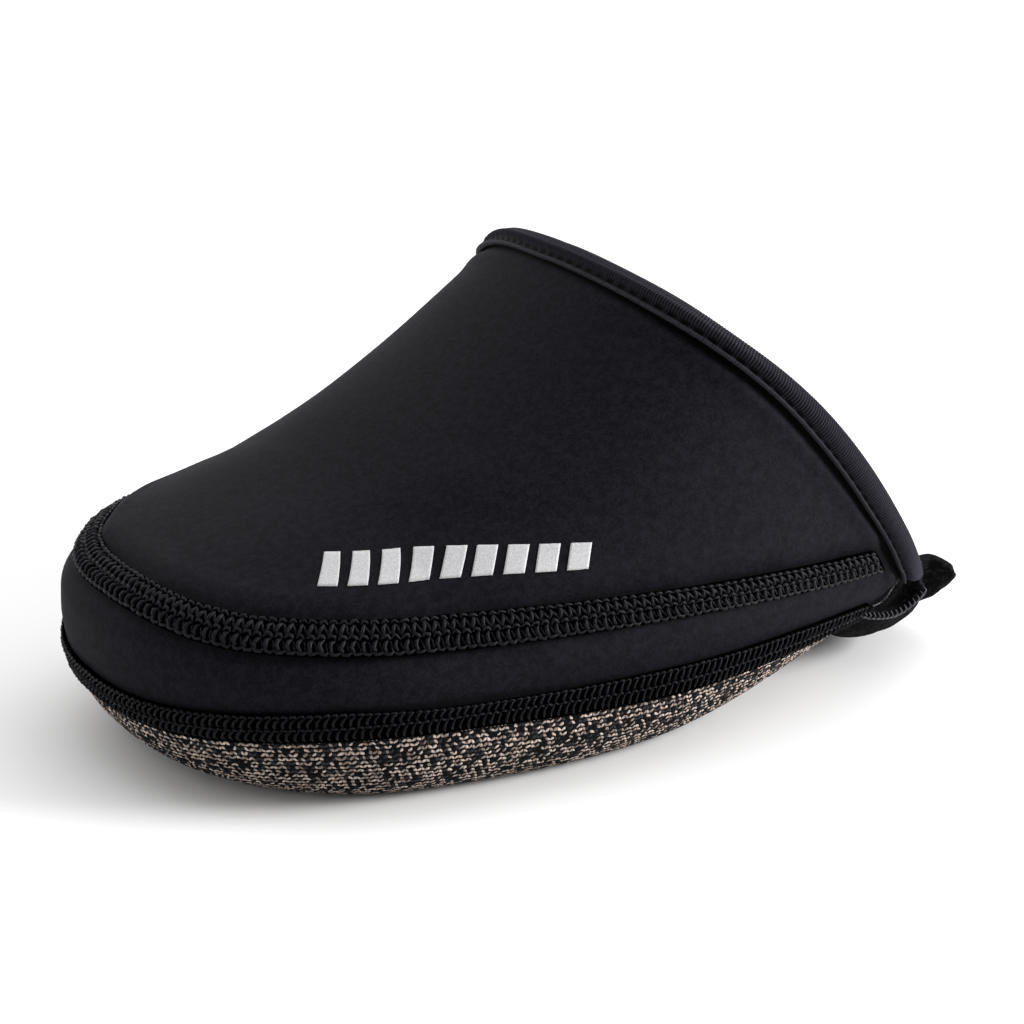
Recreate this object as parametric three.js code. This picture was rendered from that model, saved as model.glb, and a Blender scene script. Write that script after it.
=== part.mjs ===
// Cycling toe cover for the left foot: a stretch cover that is pulled over the toe of a cycling shoe.
// Sizes are in millimetres. +X runs from toe to heel, +Y to the inner side of the foot, +Z up.
// The origin is on the floor, on the flat of the sole in front of the cleat opening.
import * as THREE from "three";

// Whole cover
const lastLength = 168; // of the foot's form that the cover follows, from the toe tip
const ballWidth = 105.6; // outside, at the ball of the foot
const instepHeight = 82; // floor to the top of the collar
const originFromToe = 58;
const pieceGap = 0.3; // between two pieces that are sewn or folded onto each other

// Walls
const upperWall = 2.6; // laminated foam fabric
const soleWall = 2.2; // knitted sole fabric

// Sole
const toeSpring = 3.3;
const archRise = 8;
const toeSpringShare = 0.22; // of the length, where the floor contact starts
const archShare = 0.52; // of the length, where the floor contact ends
const soleEndToCollar = 19.6; // from the sole's rear end back to the collar's lower corner
const cleatOpeningLength = 62;
const cleatOpeningWidth = 50;
const cleatOpeningRound = 24; // length of its rounded front end
const cleatEdgeWidth = 2.4; // rolled edge round the opening
const cleatEdgeHeight = 2.8;
const cleatEdgeLift = 0.15; // keeps the rolled edge off the floor
const cleatEdgeToStrap = 1.2;

// Flat stitched seams, raised on the outside
const vampSeamWidth = 6.4;
const soleSeamWidth = 5.4;
const seamHeight = 0.9;
const seamToBinding = 3.2; // bare upper between a seam's end and the binding

// Folded binding round the collar
const bindingWidth = 5.3;
const bindingThickness = 1.1;

// Closing strap under the arch, in two halves
const outerStrapWidth = 28.7;
const innerStrapWidth = 28;
const strapThickness = 1.6;
const strapLayer = 0.2; // how far the outer strap lies inside the foot's form
const strapCorner = 4; // rounding of the outer strap's rear corner
const strapTab = 16; // how far its rear corner stands up behind the collar
const strapFlare = 1.5; // how far the tab curls away
const strapDrop = 6; // how far the outer strap's loose side hangs below the foot's form
const innerStrapBelowSeam = 1.2;
const outerStrapReach = 18; // past the middle, to the inner side
const innerStrapReach = 20; // past the middle, to the outer side
const panelLift = 9.5; // how far the upper's outer side rises above the strap at the collar
const panelLiftInner = 1; // and its inner side
const panelLiftBefore = 12.5; // where it starts to rise, in front of the collar's lower corner
const panelLiftLength = 7; // length over which it rises

// How finely the surface is divided
const toeSteps = 10;
const bodySteps = 9;
const collarSteps = 7; // closer together, in the last part before the collar
const collarStepsShare = 0.18;
const panelSteps = 6;
const vampSteps = 9;

// Cross sections along the length. at: share of lastLength. lateral, medial, edge: shares of ballWidth.
// ridge, widest, vampSeam, vampSeamInner, soleSeam: heights as shares of instepHeight.
// crown, shoulder: fullness of the top and of the side, from 0 flat to 1 square.
const sections = [
  { at: 0, lateral: 0.423, medial: 0.388, edge: 0.115, ridge: 0.35, widest: 0.299 },
  { at: 0.12, lateral: 0.442, medial: 0.406, edge: 0.105, ridge: 0.462, widest: 0.254 },
  { at: 0.25, lateral: 0.475, medial: 0.435, edge: 0.093, ridge: 0.571, widest: 0.22 },
  { at: 0.4, lateral: 0.512, medial: 0.465, edge: 0.091, ridge: 0.717, widest: 0.21 },
  { at: 0.5, lateral: 0.524, medial: 0.476, edge: 0.105, ridge: 0.848, widest: 0.227 },
  { at: 0.6, lateral: 0.521, medial: 0.475, edge: 0.134, ridge: 1.013, widest: 0.266 },
  { at: 0.75, lateral: 0.493, medial: 0.457, edge: 0.19, ridge: 1.258, widest: 0.34 },
  { at: 0.88, lateral: 0.459, medial: 0.432, edge: 0.23, ridge: 1.381, widest: 0.388 },
  { at: 1, lateral: 0.428, medial: 0.408, edge: 0.241, ridge: 1.348, widest: 0.393 },
];
const fullness = [
  { at: 0, crown: 0.572, shoulder: 0.679 },
  { at: 0.12, crown: 0.639, shoulder: 0.611 },
  { at: 0.25, crown: 0.711, shoulder: 0.537 },
  { at: 0.4, crown: 0.724, shoulder: 0.524 },
  { at: 1, crown: 0.724, shoulder: 0.524 },
];
const seamLines = [
  { at: 0, vampSeam: 0.421, vampSeamInner: 0.421, soleSeam: 0.178 },
  { at: 0.04, vampSeam: 0.402, vampSeamInner: 0.428, soleSeam: 0.189 },
  { at: 0.12, vampSeam: 0.387, vampSeamInner: 0.413, soleSeam: 0.204 },
  { at: 0.25, vampSeam: 0.376, vampSeamInner: 0.425, soleSeam: 0.208 },
  { at: 0.5, vampSeam: 0.367, vampSeamInner: 0.512, soleSeam: 0.19 },
  { at: 0.75, vampSeam: 0.334, vampSeamInner: 0.598, soleSeam: 0.182 },
  { at: 1, vampSeam: 0.29, vampSeamInner: 0.659, soleSeam: 0.136 },
];
// The collar's line seen from the side. round: share of the way up from its lower corner, back: share of lastLength.
const collarLine = [
  { round: 0, back: 0.942 },
  { round: 0.25, back: 0.802 },
  { round: 0.5, back: 0.684 },
  { round: 0.75, back: 0.608 },
  { round: 1, back: 0.593 },
];
// The outer strap's upper edge and how it hangs. along: share of its width, from the front.
// above: over the sole's seam line, as a share of strapTab. drop: share of strapDrop.
const outerStrapShape = [
  { along: 0, above: -0.08, drop: 0 },
  { along: 0.18, above: 0.12, drop: 0.66 },
  { along: 0.33, above: 0.19, drop: 0.95 },
  { along: 0.47, above: 0.3, drop: 1 },
  { along: 0.58, above: 0.72, drop: 0.96 },
  { along: 0.7, above: 1.12, drop: 0.84 },
  { along: 0.85, above: 1, drop: 0.58 },
  { along: 1, above: 0.66, drop: 0.25 },
];

const toeCentreShare = 0.274; // of the length, the point that the toe is rounded about
const toeSquareness = 2.3; // 2 is an ellipse
const flatEnd = 0.34; // girth runs from 0 under the foot to 1 on the ridge: the flat sole ends here
const sideStart = 0.5; // and the widest point of a section is here
const collarStart = 0.42; // girth of the collar's lower corner
const edgeRoundness = 0.55;

const mix = (a, b, share) => a + (b - a) * share;
const clamp = (value, low, high) => Math.min(Math.max(value, low), high);
const smooth = (share) => share * share * (3 - 2 * share);

// A smooth curve through the points of a table, as a function of one column.
function curveThrough(rows, from, to, fromSize, toSize) {
  const xs = rows.map((row) => row[from] * fromSize);
  const ys = rows.map((row) => row[to] * toSize);
  const last = xs.length - 1;
  const bend = new Array(last + 1).fill(0);
  const scratch = new Array(last + 1).fill(0);
  for (let i = 1; i < last; i++) {
    const share = (xs[i] - xs[i - 1]) / (xs[i + 1] - xs[i - 1]);
    const pivot = share * bend[i - 1] + 2;
    const rise = (ys[i + 1] - ys[i]) / (xs[i + 1] - xs[i]) - (ys[i] - ys[i - 1]) / (xs[i] - xs[i - 1]);
    bend[i] = (share - 1) / pivot;
    scratch[i] = ((6 * rise) / (xs[i + 1] - xs[i - 1]) - share * scratch[i - 1]) / pivot;
  }
  bend[last] = 0;
  for (let i = last - 1; i >= 0; i--) bend[i] = bend[i] * bend[i + 1] + scratch[i];
  return (x) => {
    let i = 0;
    while (i < last - 1 && x > xs[i + 1]) i++;
    const step = xs[i + 1] - xs[i];
    const a = (xs[i + 1] - x) / step;
    const b = 1 - a;
    const curved = ((a ** 3 - a) * bend[i] + (b ** 3 - b) * bend[i + 1]) * ((step * step) / 6);
    return a * ys[i] + b * ys[i + 1] + curved;
  };
}

const along = (rows, column, size) => curveThrough(rows, "at", column, lastLength, size);
const lateralWidth = along(sections, "lateral", ballWidth);
const medialWidth = along(sections, "medial", ballWidth);
const edgeRadius = along(sections, "edge", ballWidth);
const ridgeHeight = along(sections, "ridge", instepHeight);
const widestHeight = along(sections, "widest", instepHeight);
const crown = along(fullness, "crown", 1);
const shoulder = along(fullness, "shoulder", 1);
const vampSeamOuter = along(seamLines, "vampSeam", instepHeight);
const vampSeamInner = along(seamLines, "vampSeamInner", instepHeight);
const soleSeamHeight = along(seamLines, "soleSeam", instepHeight);
const collarBack = curveThrough(collarLine, "round", "back", 1, lastLength);
const strapEdgeAbove = curveThrough(outerStrapShape, "along", "above", 1, strapTab);
const strapHang = curveThrough(outerStrapShape, "along", "drop", 1, strapDrop);

const outerSide = -1;
const innerSide = 1;
const toeCentre = toeCentreShare * lastLength;
const bezier = (a, b, c, d, t) =>
  (1 - t) ** 3 * a + 3 * (1 - t) ** 2 * t * b + 3 * (1 - t) * t * t * c + t ** 3 * d;

function halfWidth(side, x) {
  return side === outerSide ? lateralWidth(x) : medialWidth(x);
}

// Height of the sole's underside: toe spring in front, flat under the ball, rising at the arch.
function soleHeight(x) {
  const springEnd = toeSpringShare * lastLength;
  const archStart = archShare * lastLength;
  const inSpring = Math.max(0, (springEnd - x) / springEnd);
  const inArch = Math.max(0, (x - archStart) / (lastLength - archStart));
  return toeSpring * inSpring ** 2 + archRise * smooth(Math.min(inArch, 1));
}

// One half section: from under the foot, round the widest point, up to the ridge.
// outlineX: where it meets the outline. reach: its half width. towards: how X changes along it, 0 in the body.
function halfSection(outlineX, reach, towards, startX, girth) {
  const radius = Math.min(edgeRadius(outlineX), reach * 0.9);
  const flatReach = reach - radius;
  const heightAt = (out) => soleHeight(startX + towards * out);
  if (girth <= flatEnd) {
    const out = (girth / flatEnd) * flatReach;
    return [out, heightAt(out)];
  }
  const widest = widestHeight(outlineX);
  if (girth <= sideStart) {
    const t = (girth - flatEnd) / (sideStart - flatEnd);
    const low = heightAt(flatReach);
    const handle = flatReach + edgeRoundness * radius;
    return [
      bezier(flatReach, handle, reach, reach, t),
      bezier(low, heightAt(handle), widest - (widest - low) * edgeRoundness, widest, t),
    ];
  }
  const t = (girth - sideStart) / (1 - sideStart);
  const top = towards === 0 ? ridgeHeight(outlineX) : ridgeHeight(toeCentre);
  const topReach = crown(outlineX) * reach;
  const topSlope = towards === 0 ? 0 : (ridgeHeight(toeCentre + 0.5) - ridgeHeight(toeCentre - 0.5)) * towards;
  return [
    bezier(reach, reach, topReach, 0, t),
    bezier(widest, widest + shoulder(outlineX) * (top - widest), top + topSlope * topReach, top, t),
  ];
}

// X of the outline at a station. Stations run from 0 at the toe tip to 1 beside the toe's centre,
// and on to 2 at the rear end of the piece.
function outlineX(station, girth, rearX) {
  if (station >= 1) return mix(toeCentre, rearX(girth), station - 1);
  return toeCentre * (1 - Math.cos((station * Math.PI) / 2) ** (2 / toeSquareness));
}

// A point of the outside surface. Past the ridge or the sole's middle it goes on down the other side.
function surfacePoint(side, station, girth, rearX) {
  if (station < 0) return surfacePoint(-side, -station, girth, rearX);
  if (girth > 1) return surfacePoint(-side, station, 2 - girth, rearX);
  if (girth < 0) return surfacePoint(-side, station, -girth, rearX);
  const x = outlineX(station, girth, rearX);
  if (station >= 1) {
    const [out, up] = halfSection(x, halfWidth(side, x), 0, x, girth);
    return new THREE.Vector3(x, side * out, up);
  }
  const width = halfWidth(side, x) * Math.sin((station * Math.PI) / 2) ** (2 / toeSquareness);
  const reach = Math.hypot(x - toeCentre, width);
  const towards = (x - toeCentre) / reach;
  const [out, up] = halfSection(x, reach, towards, toeCentre, girth);
  return new THREE.Vector3(toeCentre + towards * out, (side * out * width) / reach, up);
}

// The outward direction at a point of the surface.
function surfaceNormal(side, station, girth, rearX) {
  if (station < 1 && girth < 0.01) return new THREE.Vector3(0, 0, -1);
  if (station < 1 && girth > 0.995) {
    return new THREE.Vector3(ridgeHeight(toeCentre - 0.5) - ridgeHeight(toeCentre + 0.5), 0, 1).normalize();
  }
  const step = 0.002;
  const lengthwise = surfacePoint(side, station + step, girth, rearX)
    .sub(surfacePoint(side, station - step, girth, rearX));
  const upwards = surfacePoint(side, station, girth + step, rearX)
    .sub(surfacePoint(side, station, girth - step, rearX));
  return upwards.cross(lengthwise).multiplyScalar(side).normalize();
}

// Millimetres of surface for each unit of girth.
function girthSpeed(side, station, girth, rearX) {
  const step = 0.002;
  return surfacePoint(side, station, girth + step, rearX)
    .distanceTo(surfacePoint(side, station, girth - step, rearX)) / (2 * step);
}

// The girth at which a test first holds, between two limits.
function findGirth(low, high, test) {
  for (let i = 0; i < 40; i++) {
    const middle = (low + high) / 2;
    if (test(middle)) high = middle;
    else low = middle;
  }
  return (low + high) / 2;
}

function seamGirth(side, station, heightAt, rearX) {
  return findGirth(flatEnd, 1, (girth) => {
    const x = outlineX(station, girth, rearX);
    return surfacePoint(side, station, girth, rearX).z > heightAt(x);
  });
}

// The girth at which the surface is a given distance out from the middle.
function girthAtReach(side, station, reach, rearX) {
  return findGirth(0, sideStart, (girth) => Math.abs(surfacePoint(side, station, girth, rearX).y) > reach);
}

const vampSeamHeight = (side) => (side === outerSide ? vampSeamOuter : vampSeamInner);

// A closed solid between an outer and an inner copy of a patch of the surface.
// columns: rows of { point, normal, outer, inner }. Points that coincide become one.
function patchSolid(columns) {
  const outer = [];
  const inner = [];
  const known = new Map();
  const indexOf = ({ point, normal, outer: out, inner: into }) => {
    const place = point.clone().addScaledVector(normal, out);
    const key = place.toArray().map((v) => Math.round(v * 1000)).join();
    if (!known.has(key)) {
      known.set(key, outer.length);
      outer.push(place);
      inner.push(point.clone().addScaledVector(normal, into));
    }
    return known.get(key);
  };
  const grid = columns.map((column) => column.map(indexOf));
  const faces = [];
  const addFace = (a, b, c) => {
    if (a !== b && b !== c && a !== c) faces.push([a, b, c]);
  };
  for (let i = 0; i + 1 < grid.length; i++) {
    for (let j = 0; j + 1 < grid[i].length; j++) {
      addFace(grid[i][j], grid[i + 1][j], grid[i + 1][j + 1]);
      addFace(grid[i][j], grid[i + 1][j + 1], grid[i][j + 1]);
    }
  }
  const edges = new Map();
  for (const face of faces) {
    face.forEach((from, k) => edges.set(`${from},${face[(k + 1) % 3]}`, [from, face[(k + 1) % 3]]));
  }
  const count = outer.length;
  const all = faces.concat(faces.map(([a, b, c]) => [a + count, c + count, b + count]));
  for (const [from, to] of edges.values()) {
    if (edges.has(`${to},${from}`)) continue;
    all.push([to, from, from + count], [to, from + count, to + count]);
  }
  return solidFrom(outer.concat(inner), all);
}

// A closed solid swept through sections, each with the same number of points, capped at both ends.
// flat: the section as 2-D points, for the caps.
function sweptSolid(rings, flat) {
  const size = rings[0].length;
  const faces = [];
  for (let i = 0; i + 1 < rings.length; i++) {
    for (let k = 0; k < size; k++) {
      const next = (k + 1) % size;
      faces.push([i * size + k, (i + 1) * size + k, (i + 1) * size + next]);
      faces.push([i * size + k, (i + 1) * size + next, i * size + next]);
    }
  }
  const lastRing = (rings.length - 1) * size;
  const turned = THREE.ShapeUtils.isClockWise(flat);
  for (const [a, b, c] of THREE.ShapeUtils.triangulateShape(flat, [])) {
    const cap = turned ? [a, c, b] : [a, b, c];
    const [p, q, r] = runsBackwards(cap) ? [cap[0], cap[2], cap[1]] : cap;
    faces.push([p, q, r]);
    faces.push([lastRing + p, lastRing + r, lastRing + q]);
  }
  return solidFrom(rings.flat(), faces);
}

// Whether a cap triangle names its corners against the order of the section's points.
function runsBackwards([a, b, c]) {
  return (b - a) * (c - a) * (c - b) < 0;
}

function solidFrom(points, faces) {
  const volume = faces.reduce(
    (sum, [a, b, c]) => sum + points[a].dot(points[b].clone().cross(points[c])),
    0,
  );
  const geometry = new THREE.BufferGeometry();
  geometry.setAttribute("position", new THREE.Float32BufferAttribute(points.flatMap((p) => p.toArray()), 3));
  geometry.setIndex(faces.flatMap(([a, b, c]) => (volume < 0 ? [a, c, b] : [a, b, c])));
  return geometry;
}

// Stations round the toe, from the outer side's rear end to the inner side's.
function stationsRound(behindToe) {
  const toe = Array.from({ length: toeSteps }, (_, i) => i / toeSteps);
  const half = [...toe, ...behindToe];
  const outer = half.map((station) => ({ side: outerSide, station })).reverse();
  const inner = half.slice(1).map((station) => ({ side: innerSide, station }));
  return [...outer, ...inner];
}

function bodyStations() {
  const wide = Array.from({ length: bodySteps }, (_, i) => 1 + (1 - collarStepsShare) * (i / bodySteps));
  const close = Array.from({ length: collarSteps + 1 }, (_, i) => 2 - collarStepsShare * (1 - i / collarSteps));
  return [...wide, ...close];
}

function wallPoint(side, station, girth, rearX, outer, inner) {
  return {
    point: surfacePoint(side, station, girth, rearX),
    normal: surfaceNormal(side, station, girth, rearX),
    outer,
    inner,
  };
}

// The collar's edge, without its binding, as a function of girth.
const bindingOverhang = bindingThickness + pieceGap;
const collarEdge = (girth) =>
  collarBack(clamp((girth - collarStart) / (1 - collarStart), 0, 1)) - bindingOverhang;
const seamRear = (girth) => collarEdge(girth) - bindingWidth - seamToBinding;
const soleEnd = collarBack(0) - soleEndToCollar;
const strapFront = soleEnd + pieceGap;
const soleRear = () => soleEnd;

// Lower edge of the upper: on the sole seam, then lifting off the strap towards the collar.
function upperLowerEdge(side, station) {
  const girth = seamGirth(side, station, soleSeamHeight, collarEdge);
  const x = outlineX(station, girth, collarEdge);
  const share = clamp((x - collarBack(0) + panelLiftBefore) / panelLiftLength, 0, 1);
  const rise = (side === outerSide ? panelLift : panelLiftInner) * Math.sin((share * Math.PI) / 2);
  const lift = pieceGap / 2 + rise;
  return girth + lift / girthSpeed(side, station, girth, collarEdge);
}

// Girths of the upper's rows: the side panel's, then the vamp's.
function upperRows(side, station) {
  const low = upperLowerEdge(side, station);
  const seam = seamGirth(side, station, vampSeamHeight(side), collarEdge);
  const rows = [];
  for (let i = 0; i < panelSteps; i++) rows.push(mix(low, seam, i / panelSteps));
  for (let i = 0; i <= vampSteps; i++) rows.push(mix(seam, 1, i / vampSteps));
  return rows;
}

function upperShell() {
  const columns = stationsRound(bodyStations()).map(({ side, station }) =>
    upperRows(side, station).map((girth) => wallPoint(side, station, girth, collarEdge, 0, -upperWall)));
  return patchSolid(columns);
}

// Half width of the cleat opening, which is open towards the strap.
const openingFront = soleEnd - cleatOpeningLength;
function openingHalfWidth(x) {
  const half = cleatOpeningWidth / 2;
  if (x <= openingFront) return 0;
  const fromRound = Math.max(0, (openingFront + cleatOpeningRound - x) / cleatOpeningRound);
  return half * Math.sqrt(1 - fromRound ** 2);
}

function openingGirth(side, station, x) {
  const half = openingHalfWidth(x);
  return half === 0 ? 0 : girthAtReach(side, station, half, soleRear);
}

const soleStation = (x) => 1 + (x - toeCentre) / (soleRear() - toeCentre);

// X places along the sole behind the toe's centre: even steps, and closer ones round the opening's front.
function solePlaces() {
  const places = [];
  const frontSteps = 3;
  const roundSteps = 6;
  const straightSteps = 4;
  const roundEnd = openingFront + cleatOpeningRound;
  for (let i = 0; i < frontSteps; i++) places.push(mix(toeCentre, openingFront, i / frontSteps));
  for (let i = 0; i < roundSteps; i++) {
    places.push(mix(roundEnd, openingFront, Math.cos((i / roundSteps) * (Math.PI / 2))));
  }
  for (let i = 0; i <= straightSteps; i++) places.push(mix(roundEnd, soleRear(), i / straightSteps));
  return places;
}

function soleShell() {
  const flatSteps = 2;
  const edgeSteps = 5;
  const columns = stationsRound(solePlaces().map(soleStation)).map(({ side, station }) => {
    const x = outlineX(station, flatEnd, soleRear);
    const inside = station < 1 ? 0 : openingGirth(side, station, x);
    const seam = seamGirth(side, station, soleSeamHeight, soleRear);
    const top = seam - pieceGap / 2 / girthSpeed(side, station, seam, soleRear);
    const bend = Math.max(flatEnd, mix(inside, top, 0.3));
    const girths = [];
    for (let i = 0; i < flatSteps; i++) girths.push(mix(inside, bend, i / flatSteps));
    for (let i = 0; i <= edgeSteps; i++) girths.push(mix(bend, top, i / edgeSteps));
    return girths.map((girth) => wallPoint(side, station, girth, soleRear, 0, -soleWall));
  });
  return patchSolid(columns);
}

// A flat stitched seam: a low crowned band that covers the joint of two panels.
function seamBand(heightOf, rearX, width) {
  const acrossSteps = 4;
  const columns = stationsRound(bodyStations()).map(({ side, station }) => {
    const girth = seamGirth(side, station, heightOf(side), rearX);
    const speed = girthSpeed(side, station, girth, rearX);
    const column = [];
    for (let i = 0; i <= acrossSteps; i++) {
      const across = (2 * i) / acrossSteps - 1;
      const height = seamHeight * (1 - 0.4 * across ** 2);
      const place = girth + (across * width) / 2 / speed;
      column.push(wallPoint(side, station, place, rearX, pieceGap + height, pieceGap));
    }
    return column;
  });
  return patchSolid(columns);
}

// The binding folds over the collar's edge. Its section is given as [mm in front of the edge, mm off the surface].
function collarBinding() {
  const outside = pieceGap + bindingThickness;
  const insideNear = -upperWall - pieceGap;
  const insideFar = insideNear - bindingThickness;
  const section = [
    [bindingWidth, outside],
    [bindingWidth * 0.5, outside + 0.25],
    [0, outside],
    [-bindingOverhang, mix(outside, insideFar, 0.28)],
    [-bindingOverhang, mix(outside, insideFar, 0.72)],
    [0, insideFar],
    [bindingWidth * 0.5, insideFar],
    [bindingWidth, insideFar],
    [bindingWidth, insideNear],
    [bindingWidth * 0.5, insideNear],
    [-pieceGap, insideNear],
    [-pieceGap, pieceGap],
    [bindingWidth * 0.5, pieceGap],
    [bindingWidth, pieceGap],
  ];
  const ringsOf = (side) => upperRows(side, 2).map((edgeGirth, row) =>
    section.map(([before, off]) => {
      const station = 2 - before / (collarEdge(edgeGirth) - toeCentre);
      const girth = upperRows(side, station)[row];
      const normal = surfaceNormal(side, station, girth, collarEdge);
      return surfacePoint(side, station, girth, collarEdge).addScaledVector(normal, off);
    }));
  const rings = [...ringsOf(outerSide), ...ringsOf(innerSide).reverse().slice(1)];
  return sweptSolid(rings, section.map(([before, off]) => new THREE.Vector2(before, off)));
}

// Rolled edge round the cleat opening, just inside the sole's cut edge.
function cleatOpeningEdge() {
  const section = [
    [0, 0.25], [0.25, 0], [0.75, 0], [1, 0.25], [1, 0.75], [0.75, 1], [0.25, 1], [0, 0.75],
  ];
  const path = [];
  const turnSteps = 10;
  const roundEnd = openingFront + cleatOpeningRound;
  const straightSteps = 5;
  const rear = soleRear() - cleatEdgeToStrap;
  for (let i = 0; i < straightSteps; i++) path.push([mix(rear, roundEnd, i / straightSteps), 1]);
  for (let i = 0; i <= 2 * turnSteps; i++) {
    const angle = (i / turnSteps) * (Math.PI / 2);
    path.push([roundEnd - cleatOpeningRound * Math.sin(angle), Math.cos(angle)]);
  }
  for (let i = 1; i <= straightSteps; i++) path.push([mix(roundEnd, rear, i / straightSteps), -1]);
  const half = cleatOpeningWidth / 2;
  const points = path.map(([x, share]) => new THREE.Vector3(x, share * half, soleHeight(x) + cleatEdgeLift));
  const rings = points.map((point, i) => {
    const before = points[Math.max(i - 1, 0)];
    const after = points[Math.min(i + 1, points.length - 1)];
    const inwards = new THREE.Vector3(0, 0, 1).cross(after.clone().sub(before)).setZ(0).normalize();
    return section.map(([across, up]) =>
      point.clone()
        .addScaledVector(inwards, pieceGap + across * cleatEdgeWidth)
        .add(new THREE.Vector3(0, 0, up * cleatEdgeHeight)));
  });
  return sweptSolid(rings, section.map(([across, up]) => new THREE.Vector2(across, up)));
}

// The points across one place of a strap, from past the middle to its side edge.
function strapRow({ side, rear, reach, x, above }) {
  const rearX = () => rear;
  const sideSteps = 8;
  const middleSteps = 5;
  const station = 1 + (x - toeCentre) / (rear - toeCentre);
  const seam = seamGirth(side, station, soleSeamHeight, rearX);
  const edge = seam + above / girthSpeed(side, station, seam, rearX);
  const far = -girthAtReach(-side, station, reach, rearX);
  const row = [];
  for (let i = 0; i < middleSteps; i++) row.push(mix(far, 0, i / middleSteps));
  for (let i = 0; i <= sideSteps; i++) row.push(mix(0, edge, i / sideSteps));
  return row.map((girth) => ({ ...wallPoint(side, station, girth, rearX, 0, 0), share: girth / edge }));
}

// The strap's outer half: it hangs loose at the outer side, with a tab that stands up behind the collar.
function outerStrap() {
  const rear = strapFront + outerStrapWidth;
  const steps = 10;
  const places = Array.from({ length: steps }, (_, i) => mix(strapFront, rear - strapCorner, i / steps));
  for (const share of [1, 0.6, 0.3, 0.1, 0]) places.push(rear - strapCorner * share);
  return patchSolid(places.map((x) => {
    const along = (x - strapFront) / outerStrapWidth;
    const fromCorner = clamp(1 - (rear - x) / strapCorner, 0, 1);
    const rounded = strapCorner * (1 - Math.sqrt(1 - fromCorner ** 2));
    const above = strapEdgeAbove(along) - rounded;
    const row = strapRow({ side: outerSide, rear, reach: outerStrapReach, x, above });
    return row.map(({ point, normal, share }) => {
      const loose = smooth(clamp((share - 0.3) / 0.4, 0, 1));
      const curl = strapFlare * along * smooth(clamp((share - 0.6) / 0.4, 0, 1));
      point.z -= strapHang(along) * loose;
      return { point, normal, outer: curl - strapLayer, inner: curl - strapLayer - strapThickness };
    });
  }));
}

// The strap's inner half lies flat against the foot's form, above the outer half.
function innerStrap() {
  const rear = strapFront + innerStrapWidth;
  const layer = strapLayer + strapThickness + pieceGap;
  const steps = 6;
  const places = Array.from({ length: steps + 1 }, (_, i) => mix(strapFront, rear, i / steps));
  return patchSolid(places.map((x) =>
    strapRow({ side: innerSide, rear, reach: innerStrapReach, x, above: -innerStrapBelowSeam })
      .map((place) => ({ ...place, outer: -layer, inner: -layer - strapThickness }))));
}

const foamFabric = { color: 0x1b1b1f, roughness: 0.82, metalness: 0 };
const bindingFabric = { color: 0x1d1d22, roughness: 0.7, metalness: 0 };
const thread = { color: 0x17171a, roughness: 0.75, metalness: 0 };
const knit = { color: 0x6d6258, roughness: 0.95, metalness: 0 };
const loopTape = { color: 0x0f0f11, roughness: 0.95, metalness: 0 };

const cover = new THREE.Group();
cover.name = "toe_cover";
cover.position.set(-originFromToe, 0, 0);

function addPiece(name, geometry, look) {
  geometry.computeVertexNormals();
  const mesh = new THREE.Mesh(geometry, new THREE.MeshStandardMaterial(look));
  mesh.name = name;
  cover.add(mesh);
}

addPiece("upper", upperShell(), foamFabric);
addPiece("sole", soleShell(), knit);
addPiece("vamp_seam", seamBand(vampSeamHeight, seamRear, vampSeamWidth), thread);
addPiece("sole_seam", seamBand(() => soleSeamHeight, () => strapFront, soleSeamWidth), thread);
addPiece("collar_binding", collarBinding(), bindingFabric);
addPiece("cleat_opening_edge", cleatOpeningEdge(), bindingFabric);
addPiece("outer_strap", outerStrap(), loopTape);
addPiece("inner_strap", innerStrap(), loopTape);

export default cover;
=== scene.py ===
import math

import bmesh
import bpy
import numpy as np
from mathutils import Matrix, Vector
from mathutils.bvhtree import BVHTree


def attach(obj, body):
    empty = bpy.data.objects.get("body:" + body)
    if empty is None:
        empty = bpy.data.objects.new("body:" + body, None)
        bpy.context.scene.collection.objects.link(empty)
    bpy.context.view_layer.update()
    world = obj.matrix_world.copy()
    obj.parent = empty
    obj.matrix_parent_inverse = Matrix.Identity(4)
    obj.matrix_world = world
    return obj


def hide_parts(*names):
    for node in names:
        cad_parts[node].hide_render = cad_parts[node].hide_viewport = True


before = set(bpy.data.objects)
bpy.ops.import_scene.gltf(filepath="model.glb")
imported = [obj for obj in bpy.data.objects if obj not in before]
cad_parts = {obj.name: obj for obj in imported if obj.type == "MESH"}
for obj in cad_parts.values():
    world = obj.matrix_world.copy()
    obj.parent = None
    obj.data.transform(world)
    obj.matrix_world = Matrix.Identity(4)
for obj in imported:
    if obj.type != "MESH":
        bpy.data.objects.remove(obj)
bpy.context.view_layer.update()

# The form that the cover follows. Sizes in millimetres, from toe to heel, and shares of them.
form = {
    "lastLength": 168.0,
    "ballWidth": 105.6,
    "instepHeight": 82.0,
    "originFromToe": 58.0,
    "toeSpring": 3.3,
    "archRise": 8.0,
    "toeSpringShare": 0.22,
    "archShare": 0.52,
    "toeCentreShare": 0.274,
    "toeSquareness": 2.3,
    "flatEnd": 0.34,  # girth runs from 0 under the foot to 1 on the ridge
    "sideStart": 0.5,
    "collarStart": 0.42,
    "edgeRoundness": 0.55,
    "gap": 0.3,
}
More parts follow.
